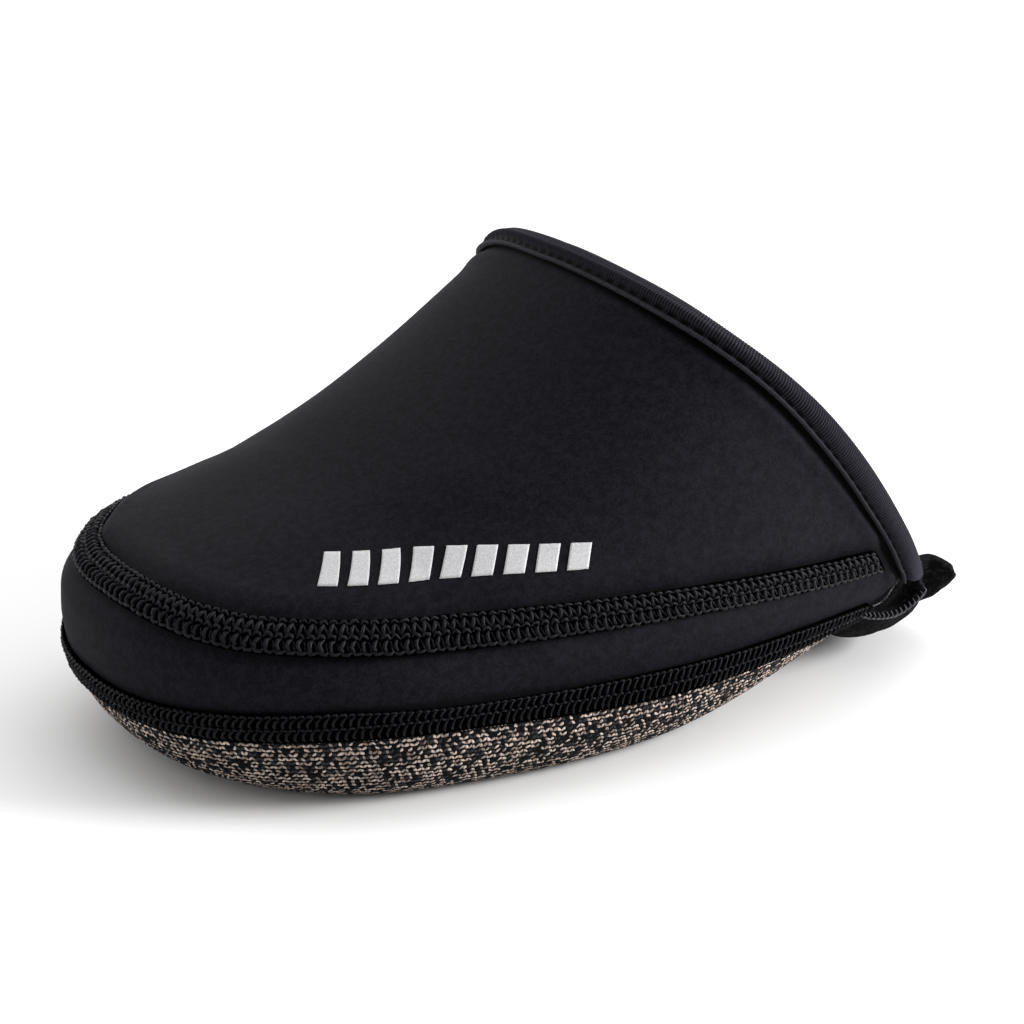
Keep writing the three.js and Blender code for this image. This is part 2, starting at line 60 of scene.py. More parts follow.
sectionTable = {
    "at": [0, 0.12, 0.25, 0.4, 0.5, 0.6, 0.75, 0.88, 1],
    "lateral": [0.423, 0.442, 0.475, 0.512, 0.524, 0.521, 0.493, 0.459, 0.428],
    "medial": [0.388, 0.406, 0.435, 0.465, 0.476, 0.475, 0.457, 0.432, 0.408],
    "edge": [0.115, 0.105, 0.093, 0.091, 0.105, 0.134, 0.19, 0.23, 0.241],
    "ridge": [0.35, 0.462, 0.571, 0.717, 0.848, 1.013, 1.258, 1.381, 1.348],
    "widest": [0.299, 0.254, 0.22, 0.21, 0.227, 0.266, 0.34, 0.388, 0.393],
}
fullnessTable = {
    "at": [0, 0.12, 0.25, 0.4, 1],
    "crown": [0.572, 0.639, 0.711, 0.724, 0.724],
    "shoulder": [0.679, 0.611, 0.537, 0.524, 0.524],
}
seamTable = {
    "at": [0, 0.04, 0.12, 0.25, 0.5, 0.75, 1],
    "vampOuter": [0.421, 0.402, 0.387, 0.376, 0.367, 0.334, 0.29],
    "vampInner": [0.421, 0.428, 0.413, 0.425, 0.512, 0.598, 0.659],
    "sole": [0.178, 0.189, 0.204, 0.208, 0.19, 0.182, 0.136],
}
collarTable = {
    "round": [0, 0.25, 0.5, 0.75, 1],
    "back": [0.942, 0.802, 0.684, 0.608, 0.593],
}


# A smooth curve through the points of a table.
def curveThrough(xs, ys):
    xs, ys = np.asarray(xs, float), np.asarray(ys, float)
    last = len(xs) - 1
    steps = np.diff(xs)
    system, right = np.eye(last + 1), np.zeros(last + 1)
    for i in range(1, last):
        system[i, i - 1 : i + 2] = steps[i - 1], 2 * (steps[i - 1] + steps[i]), steps[i]
        right[i] = 6 * ((ys[i + 1] - ys[i]) / steps[i] - (ys[i] - ys[i - 1]) / steps[i - 1])
    bend = np.linalg.solve(system, right)

    def at(x):
        i = np.clip(np.searchsorted(xs, x) - 1, 0, last - 1)
        step = steps[i]
        a = (xs[i + 1] - x) / step
        b = 1 - a
        curved = ((a**3 - a) * bend[i] + (b**3 - b) * bend[i + 1]) * step**2 / 6
        return a * ys[i] + b * ys[i + 1] + curved

    return at


def alongCurves(table, size, *columns):
    at = np.array(table["at"]) * form["lastLength"]
    return [curveThrough(at, np.array(table[column]) * size) for column in columns]


ball, instep = form["ballWidth"], form["instepHeight"]
lateralWidth, medialWidth, edgeRadius = alongCurves(sectionTable, ball, "lateral", "medial", "edge")
ridgeHeight, widestHeight = alongCurves(sectionTable, instep, "ridge", "widest")
crown, shoulder = alongCurves(fullnessTable, 1, "crown", "shoulder")
vampSeamOuter, vampSeamInner = alongCurves(seamTable, instep, "vampOuter", "vampInner")
soleSeamHeight = alongCurves(seamTable, instep, "sole")[0]
collarBack = curveThrough(collarTable["round"], np.array(collarTable["back"]) * form["lastLength"])
toeCentre = form["toeCentreShare"] * form["lastLength"]


def smooth(share):
    share = np.clip(share, 0, 1)
    return share * share * (3 - 2 * share)


# From 0 to 1 over a length.
def rise(value, start, length):
    return smooth((value - start) / length)


def mix(a, b, share):
    return a + (b - a) * share


def bezier(a, b, c, d, t):
    return (1 - t) ** 3 * a + 3 * (1 - t) ** 2 * t * b + 3 * (1 - t) * t * t * c + t**3 * d


def soleHeight(x):
    length = form["lastLength"]
    springEnd, archStart = form["toeSpringShare"] * length, form["archShare"] * length
    inSpring = np.maximum(0, (springEnd - x) / springEnd)
    return form["toeSpring"] * inSpring**2 + form["archRise"] * rise(x, archStart, length - archStart)


# One half section: from under the foot, round the widest point, up to the ridge.
def halfSection(outline, reach, towards, startX, girth):
    radius = np.minimum(edgeRadius(outline), reach * 0.9)
    flatReach = reach - radius
    flatEnd, sideStart, roundness = form["flatEnd"], form["sideStart"], form["edgeRoundness"]
    heightAt = lambda out: soleHeight(startX + towards * out)
    widest = widestHeight(outline)

    flatOut = np.clip(girth / flatEnd, 0, 1) * flatReach
    flatUp = heightAt(flatOut)

    t = np.clip((girth - flatEnd) / (sideStart - flatEnd), 0, 1)
    low = heightAt(flatReach)
    handle = flatReach + roundness * radius
    edgeOut = bezier(flatReach, handle, reach, reach, t)
    edgeUp = bezier(low, heightAt(handle), widest - (widest - low) * roundness, widest, t)

    t = np.clip((girth - sideStart) / (1 - sideStart), 0, 1.0)
    inToe = towards != 0
    top = np.where(inToe, ridgeHeight(toeCentre), ridgeHeight(outline))
    slope = ridgeHeight(toeCentre + 0.5) - ridgeHeight(toeCentre - 0.5)
    topReach = crown(outline) * reach
    sideOut = bezier(reach, reach, topReach, 0, t)
    shoulderUp = widest + shoulder(outline) * (top - widest)
    sideUp = bezier(widest, shoulderUp, top + slope * towards * topReach, top, t)
    out = np.where(girth <= flatEnd, flatOut, np.where(girth <= sideStart, edgeOut, sideOut))
    up = np.where(girth <= flatEnd, flatUp, np.where(girth <= sideStart, edgeUp, sideUp))
    return out, up


def outlineX(lap, girth, rearAt):
    station = np.abs(lap)
    inToe = 1 - np.cos(np.minimum(station, 1) * math.pi / 2) ** (2 / form["toeSquareness"])
    return np.where(station >= 1, mix(toeCentre, rearAt(girth), station - 1), toeCentre * inToe)


# A point of the outside surface. The lap runs from -2 at the outer side's rear end, through
# 0 at the toe tip, to 2 at the inner side's. Past the ridge or the sole's middle the girth
# goes on down the other side.
def surfacePoint(lap, girth, rearAt):
    lap, girth = np.broadcast_arrays(np.asarray(lap, float), np.asarray(girth, float))
    side = np.where(lap < 0, -1.0, 1.0)
    side = np.where((girth > 1) | (girth < 0), -side, side)
    girth = np.where(girth > 1, 2 - girth, np.abs(girth))
    station = np.abs(lap)
    x = outlineX(station, girth, rearAt)
    half = np.where(side < 0, lateralWidth(x), medialWidth(x))
    inToe = station < 1
    rounded = np.sin(np.minimum(station, 1) * math.pi / 2) ** (2 / form["toeSquareness"])
    width = half * np.where(inToe, rounded, 1)
    reach = np.where(inToe, np.hypot(x - toeCentre, width), width)
    towards = np.where(inToe, (x - toeCentre) / reach, 0)
    startX = np.where(inToe, toeCentre, x)
    out, up = halfSection(x, reach, towards, startX, girth)
    return np.stack([startX + towards * out, side * out * width / reach, up], -1)


def unit(vectors):
    return vectors / np.maximum(np.linalg.norm(vectors, axis=-1, keepdims=True), 1e-12)


def surfaceNormal(lap, girth, rearAt):
    step = 0.002
    offPoles = np.clip(girth, 0.012, 0.992)  # the toe's poles have no normal
    girth = np.where(np.abs(lap) < 1, offPoles, girth)
    lapwise = surfacePoint(lap + step, girth, rearAt) - surfacePoint(lap - step, girth, rearAt)
    upwards = surfacePoint(lap, girth + step, rearAt) - surfacePoint(lap, girth - step, rearAt)
    return unit(np.cross(upwards, lapwise))


def girthSpeed(lap, girth, rearAt):
    step = 0.002
    ahead, behind = surfacePoint(lap, girth + step, rearAt), surfacePoint(lap, girth - step, rearAt)
    return np.linalg.norm(ahead - behind, axis=-1) / (2 * step)


# The girth at which a test first holds, between two limits.
def findGirth(lap, low, high, test):
    low, high = np.full(np.shape(lap), float(low)), np.full(np.shape(lap), float(high))
    for _ in range(30):
        middle = (low + high) / 2
        holds = test(middle)
        high = np.where(holds, middle, high)
        low = np.where(holds, low, middle)
    return (low + high) / 2


def vampSeamHeight(x, lap):
    return np.where(lap < 0, vampSeamOuter(x), vampSeamInner(x))


def soleSeamLine(x, lap):
    return soleSeamHeight(x)


# A line that keeps a given height round the form, as a function of the lap.
def lineAtHeight(heightAt, rearAt):
    laps = np.linspace(-2.08, 2.08, 1249)  # a little past both rear ends

    def above(girth):
        x = outlineX(laps, girth, rearAt)
        return surfacePoint(laps, girth, rearAt)[..., 2] > heightAt(x, laps)

    girths = findGirth(laps, form["flatEnd"], 1, above)
    return lambda lap: np.interp(lap, laps, girths)


edges = {
    "bindingWidth": 5.3,
    "bindingThickness": 1.1,
    "upperWall": 2.6,
    "soleWall": 2.2,
    "vampSeamWidth": 6.4,
    "soleSeamWidth": 5.4,
    "seamToBinding": 3.2,
    "soleEndToCollar": 19.6,
    "cleatLength": 62.0,
    "cleatWidth": 50.0,
    "cleatRound": 24.0,
    "panelLift": 9.5,
    "panelLiftInner": 1.0,
    "panelLiftBefore": 12.5,
    "panelLiftLength": 7.0,
}
overhang = edges["bindingThickness"] + form["gap"]
soleEnd = float(collarBack(0)) - edges["soleEndToCollar"]
strapFront = soleEnd + form["gap"]


def collarEdge(girth):
    start = form["collarStart"]
    return collarBack(np.clip((girth - start) / (1 - start), 0, 1)) - overhang


def seamRear(girth):
    return collarEdge(girth) - edges["bindingWidth"] - edges["seamToBinding"]


def straightRear(x):
    return lambda girth: np.full(np.shape(girth), x)


soleRear, bandRear = straightRear(soleEnd), straightRear(strapFront)


# Millimetres from the toe tip become metres in the frame.
def toFrame(points):
    return (points - np.array([form["originFromToe"], 0, 0])) * 0.001


def laidOn(lap, girth, rearAt, off):
    points = surfacePoint(lap, girth, rearAt)
    normals = surfaceNormal(lap, girth, rearAt)
    return points + normals * np.asarray(off)[..., None]


def lengths(points, axis):
    steps = np.linalg.norm(np.diff(points, axis=axis), axis=-1)
    return np.concatenate([np.zeros_like(np.take(steps, [0], axis)), np.cumsum(steps, axis)], axis)


def addObject(name, data):
    made = bpy.data.objects.new(name, data)
    bpy.context.scene.collection.objects.link(made)
    return made


def gridMesh(name, across, up, size):
    bm = bmesh.new()
    bmesh.ops.create_grid(bm, x_segments=across, y_segments=up, size=size)
    mesh = bpy.data.meshes.new(name)
    bm.to_mesh(mesh)
    bm.free()
    return mesh


# A grid laid through rows of points, with its cloth coordinates in millimetres. The shade is
# above 0 where shadow is painted into creases and grooves, and below 0 where a highlight is
# painted on the binding's lip.
def clothGrid(name, points, along, across, merge=0.00002, turned=False, shade=None):
    rows, columns = points.shape[:2]
    spread = lambda values: np.broadcast_to(values, (rows, columns)).astype(np.float32)
    mesh = gridMesh(name, columns - 1, rows - 1, 1)
    mesh.vertices.foreach_set("co", toFrame(points).astype(np.float32).ravel())
    layer = mesh.uv_layers.new(name="cloth")
    corners = np.zeros(len(mesh.loops), np.int32)
    mesh.loops.foreach_get("vertex_index", corners)
    cloth = np.stack([spread(along), spread(across)], -1).reshape(-1, 2)
    layer.data.foreach_set("uv", cloth[corners].ravel())
    if shade is not None:
        mark = mesh.attributes.new("shade", "FLOAT", "POINT")
        mark.data.foreach_set("value", spread(shade).ravel())
    bm = bmesh.new()
    bm.from_mesh(mesh)
    if merge:
        bmesh.ops.remove_doubles(bm, verts=bm.verts, dist=merge)
    if turned:
        bmesh.ops.reverse_faces(bm, faces=bm.faces)
    for face in bm.faces:
        face.smooth = True
    bm.to_mesh(mesh)
    bm.free()
    return addObject(name, mesh)


# The materials, wall and place of a finished piece. A second material is on its inside.
def finishPiece(piece, slotName, node, *materials, wall=0):
    for material in materials:
        piece.data.materials.append(material)
    if wall:
        solid = piece.modifiers.new("wall", "SOLIDIFY")
        solid.thickness = wall * 0.001
        solid.offset = -1
        solid.material_offset = solid.material_offset_rim = len(materials) - 1
    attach(piece, "root")
    if node:
        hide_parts(node)
    return piece


# A method that adds one Math node.
def maths(operation, reflected=False):
    def run(self, *others):
        values = (*others, self) if reflected else (self, *others)
        return self.nodes.node("Math", {"operation": operation}, values)["Value"]

    return run


# Shader numbers as plain expressions.
class Number:
    def __init__(self, nodes, socket):
        self.nodes, self.socket = nodes, socket

    __add__ = __radd__ = maths("ADD")
    __sub__, __rsub__ = maths("SUBTRACT"), maths("SUBTRACT", reflected=True)
    __mul__ = __rmul__ = maths("MULTIPLY")
    __truediv__, __pow__, __mod__ = maths("DIVIDE"), maths("POWER"), maths("FLOORED_MODULO")
    __lt__, __gt__ = maths("LESS_THAN"), maths("GREATER_THAN")
    floor, size, wave = maths("FLOOR"), maths("ABSOLUTE"), maths("SINE")

    def ramp(self, low, high):
        sockets = {"Value": self, "From Min": low, "From Max": high}
        return self.nodes.node("MapRange", {"interpolation_type": "SMOOTHSTEP"}, sockets)["Result"]


# Adds nodes to a material or to the sky.
class Nodes:
    def __init__(self, tree):
        self.tree = tree

    # One way to add any node: its settings first, then what goes into its sockets.
    def node(self, kind, settings=None, sockets=()):
        made = self.tree.nodes.new("ShaderNode" + kind)
        for key, value in (settings or {}).items():
            setattr(made, key, value)
        items = sockets.items() if isinstance(sockets, dict) else enumerate(sockets)
        for key, value in items:
            self.feed(made.inputs[key], value)
        return {socket.name: Number(self, socket) for socket in made.outputs if socket.enabled}

    def feed(self, socket, value):
        if isinstance(value, Number):
            self.tree.links.new(value.socket, socket)
        elif isinstance(value, (tuple, list)) and len(value) == 3 and socket.type == "RGBA":
            socket.default_value = (*value, 1)
        else:
            socket.default_value = value

    def place(self):
        return self.node("TexCoord")["Object"]

    def cloth(self):
        separate = self.node("SeparateXYZ", {}, [self.node("UVMap", {"uv_map": "cloth"})["UV"]])
        return separate["X"], separate["Y"]

    def shade(self):
        return self.node("Attribute", {"attribute_name": "shade"})["Fac"]

    def noise(self, scale, detail=2.0, roughness=0.5):
        sockets = {"Vector": self.place(), "Scale": scale, "Detail": detail, "Roughness": roughness}
        return self.node("TexNoise", {}, sockets)["Fac"]

    def blend(self, factor, first, second):
        made = self.tree.nodes.new("ShaderNodeMix")
        made.data_type = "RGBA"
        for place, value in zip((0, 6, 7), (factor, first, second)):
            self.feed(made.inputs[place], value)
        return Number(self, made.outputs[2])


class Finish(Nodes):
    def __init__(self, name, colour, roughness, gloss):
        self.material = bpy.data.materials.new(name)
        self.material.use_nodes = True
        super().__init__(self.material.node_tree)
        self.shader = self.tree.nodes["Principled BSDF"]
        self.shader.inputs["Base Color"].default_value = (*colour, 1)
        self.shader.inputs["Roughness"].default_value = roughness
        self.shader.inputs["Specular IOR Level"].default_value = gloss

    def colour(self, value):
        self.feed(self.shader.inputs["Base Color"], value)

    def rough(self, value):
        self.feed(self.shader.inputs["Roughness"], value)

    def bump(self, height, depth, strength=1.0):
        made = self.node("Bump", {}, {"Height": height, "Distance": depth, "Strength": strength})
        self.feed(self.shader.inputs["Normal"], made["Normal"])


fabricLook = {
    "dark": (0.0029, 0.0027, 0.0045),
    "light": (0.0088, 0.0083, 0.0126),
    "creaseShadow": (0.0002, 0.0002, 0.0003),
    "grain": (2300, 3, 0.75),
    "mottle": (700, 2, 0.6),
    "nap": (0.00012, 0.6),
}


def foamFabric():
    look = fabricLook
    finish = Finish("foam_fabric", look["dark"], 0.7, 0.05)
    grain, mottle = finish.noise(*look["grain"]), finish.noise(*look["mottle"])
    mask = (grain * 0.6 + mottle * 0.4).ramp(0.38, 0.64)
    cloth = finish.blend(mask, look["dark"], look["light"])
    # Painted shadow: the shade attribute darkens the cloth to the crease shadow colour under the
    # binding and beside the seam bands.
    finish.colour(finish.blend(finish.shade(), cloth, look["creaseShadow"]))
    finish.rough(0.64 + grain * 0.16)
    finish.bump(grain, *look["nap"])
    return finish.material


threadGrain = {"noise": (1900, 3, 0.7), "mottle": (0.32, 0.66), "nap": (0.0001, 0.8)}
# Cloths with one fine noise, told by its scale, detail and roughness. It mottles the colour
# between two of its heights, and the nap is its depth in metres and its strength.
plainLooks = {
    "brushed_lining": {
        "dark": (0.0035, 0.0035, 0.004), "light": (0.012, 0.012, 0.014), "shine": (0.95, 0.06),
        "grain": {"noise": (1500, 4, 0.75), "mottle": (0.35, 0.75), "nap": (0.0003, 0.7)},
    },
    "seam_thread": {
        "dark": (0.0016, 0.0015, 0.0023), "light": (0.0080, 0.0076, 0.0114), "shine": (0.5, 0.12),
    },
    # The seam thread painted darker as shade, for the sole seam that faces down.
    "sole_thread_shaded": {
        "dark": (0.0013, 0.0012, 0.0019), "light": (0.0056, 0.0053, 0.0080), "shine": (0.5, 0.1),
    },
    "edge_thread": {
        "dark": (0.02, 0.02, 0.024), "light": (0.10, 0.10, 0.115), "shine": (0.5, 0.3),
    },
    # The seam's base band under the threads, its colour painted shadow: near black and without shine
    # so the holes between the threads read dark.
    "seam_base_shadow": {
        "dark": (0.0002, 0.0002, 0.0003), "light": (0.0007, 0.0007, 0.0009), "shine": (1.0, 0.0),
    },
    "loop_tape": {
        "dark": (0.0014, 0.0014, 0.0018), "light": (0.034, 0.034, 0.040), "shine": (0.9, 0.06),
        "grain": {"noise": (900, 5, 0.8), "mottle": (0.5, 0.72), "nap": (0.0006, 0.9)},
    },
    "reflective_print": {
        "dark": (0.36, 0.36, 0.37), "light": (0.50, 0.50, 0.51), "shine": (0.5, 0.4),
        "grain": {"noise": (3600, 2, 0.6), "mottle": (0.3, 0.7), "nap": (0.00004, 0.5)},
    },
}


def plainCloth(name):
    look = plainLooks[name]
    grain = look.get("grain", threadGrain)
    finish = Finish(name, look["dark"], *look["shine"])
    noise = finish.noise(*grain["noise"])
    finish.colour(finish.blend(noise.ramp(*grain["mottle"]), look["dark"], look["light"]))
    finish.bump(noise, *grain["nap"])
    return finish.material


knitLook = {
    "rowPitch": 0.98,
    "stitchPitch": 1.5,
    "slope": 0.52,
    "slantedRows": 3,
    "stray": 0.8,
    "strayAlong": 1.3,
    "legWidth": 0.35,
    "legLength": 0.52,
    "black": (0.0022, 0.0022, 0.003),
    "grey": (0.03, 0.028, 0.03),
    "beigeDark": (0.19, 0.145, 0.12),
    "beige": (0.62, 0.51, 0.44),
    "beigeShare": 0.63,
    "greyShare": 0.2,
}


# Melange knit: the legs of each row run in a zigzag, and in the rows by the seam they all
# lean one way. Each leg is one colour of yarn.
def knitCloth():
    look = knitLook
    finish = Finish("melange_knit", look["black"], 0.85, 0.1)
    u, v = finish.cloth()
    v = v + (finish.noise(260, 1, 0.5) - 0.5) * look["stray"]
    u = u + (finish.noise(420, 1, 0.5) - 0.5) * look["strayAlong"]
    rows = v / look["rowPitch"]
    row = rows.floor()
    inRow = rows % 1
    legs = u / (look["stitchPitch"] / 2) + row * 0.61
    leg = legs.floor()
    inLeg = legs % 1
    zigzag = (leg % 2) * 2 - 1
    slanted = row < look["slantedRows"]
    lean = zigzag * (1 - slanted) * 0.7 + slanted
    middle = 0.5 - (inLeg - 0.5) * lean * look["slope"]
    chance = finish.node("CombineXYZ", {}, [leg * 0.731 + 3.1, row * 1.317 + 7.7, 0.0])["Vector"]
    pick = finish.node("TexWhiteNoise", {"noise_dimensions": "2D"}, {"Vector": chance})["Value"]
    across = (inRow - middle).size() / look["legWidth"]
    lengthwise = (inLeg - 0.5).size() / look["legLength"]
    body = 1 - across**2 - lengthwise**3
    shape = body.ramp(0.02, 0.3)
    isBeige = pick > (1 - look["beigeShare"])
    isGrey = pick > (1 - look["beigeShare"] - look["greyShare"])
    yarn = finish.blend(isGrey, look["black"], look["grey"])
    tone = finish.noise(700, 1, 0.5)
    beige = finish.blend(tone.ramp(0.3, 0.7), look["beigeDark"], look["beige"])
    yarn = finish.blend(isBeige, yarn, beige)
    finish.colour(finish.blend(shape, look["black"], yarn))
    finish.bump(body.ramp(-0.4, 1.0), 0.0005, 0.9)
    return finish.material


bindingLook = {
    "ringStep": 0.1,
    "ribPitch": 0.6,
    "ribHeight": 0.13,
    "bulge": 1.3,
    "bulgeAt": (1.7, 0.18),
    "lipWidth": 1.4,  # the narrowing moves these front millimetres as one
    "endFade": 12,
    "fineSteps": 3201,
    "stitchPitch": 2.9,
    "stitchLength": 0.3,
    "groove": 0.9,  # behind the front edge
    "grooveWidth": 0.35,
    "pinch": 0.12,
    "facePinch": 0.05,
    "stitchHoleShadow": (0.0003, 0.0003, 0.0004),
    "dark": (0.0008, 0.0007, 0.0012),
    "light": (0.0205, 0.0195, 0.0290),
    "lipHighlight": (0.026, 0.0255, 0.031),
}


# Ribbed tape. Its shade is positive in the stitch groove, where shadow is painted over the groove
# and is darkest in each stitch's hole, and negative on the lip, where a highlight is painted.
def bindingCloth():
    look = bindingLook
    finish = Finish("ribbed_binding", look["dark"], 0.66, 0.06)
    u, v = finish.cloth()
    grain = finish.noise(2400, 2, 0.6)
    # Painted shade: the ribs' colour is lighter on their crests and darker in their troughs, in step
    # with their relief.
    rib = (u * (2 * math.pi / look["ribPitch"])).wave().ramp(-0.9, 0.7)
    mask = rib * 0.75 + grain.ramp(0.3, 0.7) * 0.25
    cloth = finish.blend(mask, look["dark"], look["light"])
    shade = finish.shade()
    # Painted highlight on the lip's crest.
    lipHighlightMask = (0 - shade).ramp(0.2, 0.9) * grain.ramp(0.25, 0.6)
    cloth = finish.blend(lipHighlightMask, cloth, look["lipHighlight"])
    stitchHoleShadow = ((u / look["stitchPitch"]) % 1 - 0.5).size() < look["stitchLength"]
    grooveShadow = shade.ramp(0.0, 1.0) * (0.35 + 0.65 * stitchHoleShadow)
    finish.colour(finish.blend(grooveShadow, cloth, look["stitchHoleShadow"]))
    finish.bump(grain, 0.00007, 0.5)
    return finish.material


print("materials")
foam = foamFabric()
knit = knitCloth()
ribbed = bindingCloth()
lining, thread, shadedSoleThread, edgeThread, seamBaseShadow, loops, film = map(plainCloth, plainLooks)


vampLine = lineAtHeight(vampSeamHeight, collarEdge)
upperSoleLine = lineAtHeight(soleSeamLine, collarEdge)

upperLook = {
    "toeColumns": 64,
    "bodyColumns": 120,
    "panelRows": 30,
    "vampRows": 56,
    "groove": 0.45,
    "grooveWidth": 1.3,
    "puff": 0.35,
    "puffAt": (4.5, 2.6),  # a pair named At is the middle and the width of a bell
    "soleShare": 0.45,
    "pucker": 0.1,
    "puckerReach": 4.5,
    "collarGroove": 0.3,
    "collarGrooveAt": (0.4, 0.8),
    "collarGrooveFade": 6,
    "collarPuff": 0.5,
    "collarPuffAt": (2.2, 1.7),
    "toePuff": 1.0,
    "toePuffAt": (4.6, 2.0),
    "cornerFrom": (-0.05, 0.3),  # laps at the toe's inner corner: where it starts, over how much
    "cornerTo": (0.8, 0.5),
    "ridgeFullness": 0.8,
    "ridgeFrom": (40, 22),
    "ridgeTo": (85, 25),
    "ridgeUp": (0.55, 0.35),
    "shadowLineWidth": 0.45,
}
# Soft troughs and ridges, in millimetres: place along the seam from its outer rear end, place
# up from it, slope, length, width and height.
folds = [
    (78, 19, 0.03, 34, 5, -0.4),
    (70, 31, 0.02, 36, 8, 0.35),
    (30, 26, -0.2, 18, 6, -0.3),
    (24, 12, 0.1, 14, 5, 0.25),
    (118, 12, 0.1, 22, 6, -0.3),
    (265, 16, -0.1, 30, 6, -0.35),
    (60, -9, 0.0, 26, 3, 0.2),
]


# Laps from the outer side's rear end, round the toe, to the inner side's.
def lapsRound(toeCount, body):  # body holds the laps from 1 to 2
    half = np.concatenate([np.linspace(0, 1, toeCount, endpoint=False), body])
    return np.concatenate([-half[:0:-1], half])


def lowerEdge(lap):
    girth = upperSoleLine(lap)
    x = outlineX(lap, girth, collarEdge)
    past = x - float(collarBack(0)) + edges["panelLiftBefore"]
    share = np.clip(past / edges["panelLiftLength"], 0, 1)
    height = np.where(lap < 0, edges["panelLift"], edges["panelLiftInner"])
    lift = form["gap"] / 2 + height * np.sin(share * math.pi / 2)
    return girth + lift / girthSpeed(lap, girth, collarEdge)


def bellAt(distance, middle, width):
    return np.exp(-(((distance - middle) / width) ** 2))


# How far the padded cloth stands off the form beside its seams and in its soft folds. Over
# the toe's inner corner the vamp is full enough to hide its seam.
def upperRelief(toVamp, toSole, toCollar, alongSeam, laps):
    look = upperLook
    corner = rise(laps, *look["cornerFrom"]) * (1 - rise(laps, *look["cornerTo"]))
    off = np.zeros_like(toVamp)
    for distance, width, share in (
        (toVamp, edges["vampSeamWidth"], 1.0),
        (toSole, edges["soleSeamWidth"], look["soleShare"]),
    ):
        away = np.abs(distance)
        edge = width / 2 + 0.3
        groove = look["groove"] * bellAt(np.maximum(away, edge), edge, look["grooveWidth"])
        off -= share * groove * (1 - corner * (distance > 0))
        off += share * look["puff"] * bellAt(away - width / 2, *look["puffAt"])
    toBinding = toCollar - edges["bindingWidth"]
    dip = bellAt(toBinding, *look["collarGrooveAt"]) * smooth(toSole / look["collarGrooveFade"])
    off -= look["collarGroove"] * dip
    off += look["collarPuff"] * bellAt(toBinding, *look["collarPuffAt"])
    off += look["toePuff"] * corner * bellAt(toVamp, *look["toePuffAt"])
    ripple = np.sin(alongSeam / 4.1) + 0.7 * np.sin(alongSeam / 2.3 + 1.7)
    away = np.maximum(np.abs(toVamp) - edges["vampSeamWidth"] / 2, 0)
    off += look["pucker"] * ripple * np.exp(-away / look["puckerReach"])
    for along, across, slope, length, width, height in folds:
        wander = across + slope * (alongSeam - along)
        reach = bellAt(alongSeam, along, length)
        off += height * bellAt(toVamp, wander, width) * reach
    return off


# Painted shadow: dark lines where the cloth dips under the binding and beside the seam bands.
def upperShade(toVamp, toSole, toCollar):
    binding, spread = edges["bindingWidth"], upperLook["shadowLineWidth"]
    dark = bellAt(np.maximum(toCollar, binding), binding + 0.2, spread)
    for distance, width in ((toVamp, edges["vampSeamWidth"]), (toSole, edges["soleSeamWidth"])):
        line = bellAt(np.maximum(np.abs(distance), width / 2), width / 2, spread)
        dark = np.maximum(dark, 0.6 * line)
    return np.clip(dark, 0, 1)


# The binding is narrower over the vamp than at its two ends, by so many millimetres.
cutAt = [0, 1, 1.22, 1.39, 1.55, 1.7, 1.85, 1.95, 2]
cutBy = [0, 0, 0.2, 1.6, 2.9, 3.7, 3.2, 2.7, 2.6]
bindingCut = curveThrough(cutAt, cutBy)


def collarCut(share):
    return bindingCut(np.minimum(share, 4 - share))


def collarDistance(lap, girth):
    station = np.abs(lap)
    seam = vampLine(lap)
    share = 1 + np.clip((girth - seam) / (1 - seam), 0, 1)
    behind = (2 - station) * (collarEdge(girth) - toeCentre)
    return np.where(station > 1, behind + collarCut(share), 99.0)


def makeUpper():
    look = upperLook
    body = 2 - np.linspace(1, 0, look["bodyColumns"] + 1) ** 1.5  # closer towards the collar
    laps = lapsRound(look["toeColumns"], body)
    low, seam = lowerEdge(laps), vampLine(laps)
    panel = np.linspace(0, 1, look["panelRows"], endpoint=False)
    panel = mix(panel, (1 - np.cos(panel * math.pi)) / 2, 0.55)
    vamp = np.linspace(0, 1, look["vampRows"] + 1) ** 1.45
    girths = np.concatenate([mix(low, seam, panel[:, None]), mix(seam, 1, vamp[:, None])])
    base = surfacePoint(laps, girths, collarEdge)
    up = lengths(base, 0)
    seamRow = len(panel)
    toVamp = up - up[seamRow]
    alongSeam = lengths(base[seamRow : seamRow + 1], 1)
    toCollar = collarDistance(laps, girths)
    shade = upperShade(toVamp, up, toCollar)
    off = upperRelief(toVamp, up, toCollar, alongSeam, laps)
    off = off * smooth((1 - girths) / 0.12)  # the two sides meet evenly on the ridge
    x = base[..., 0]
    full = rise(x, *look["ridgeFrom"]) * (1 - rise(x, *look["ridgeTo"]))
    off = off + look["ridgeFullness"] * (full * rise(girths, *look["ridgeUp"]))
    points = laidOn(laps, girths, collarEdge, off)
    piece = clothGrid("upper_shell", points, alongSeam, up, turned=True, shade=shade)
    return finishPiece(piece, "foam_fabric", "upper", foam, lining, wall=edges["upperWall"])


print("upper")
upperShell = makeUpper()


seamLook = {"columns": 420, "acrossRows": 8, "baseHeight": 0.45, "sink": 0.4}


# Places along a seam's middle at even distances, as laps.
class SeamPath:
    def __init__(self, line, rearAt):
        self.line, self.rearAt = line, rearAt
        self.laps = np.linspace(-2, 2, 2401)
        points = surfacePoint(self.laps, line(self.laps), rearAt)
        self.along = lengths(points[None], 1)[0]
        self.length = self.along[-1]

    # along and across in millimetres, off the surface in millimetres
    def laid(self, along, across, off):
        lap = np.interp(along, self.along, self.laps)
        girth = self.line(lap)
        speed = girthSpeed(lap, girth, self.rearAt)
        return laidOn(lap, girth + across / speed, self.rearAt, off)


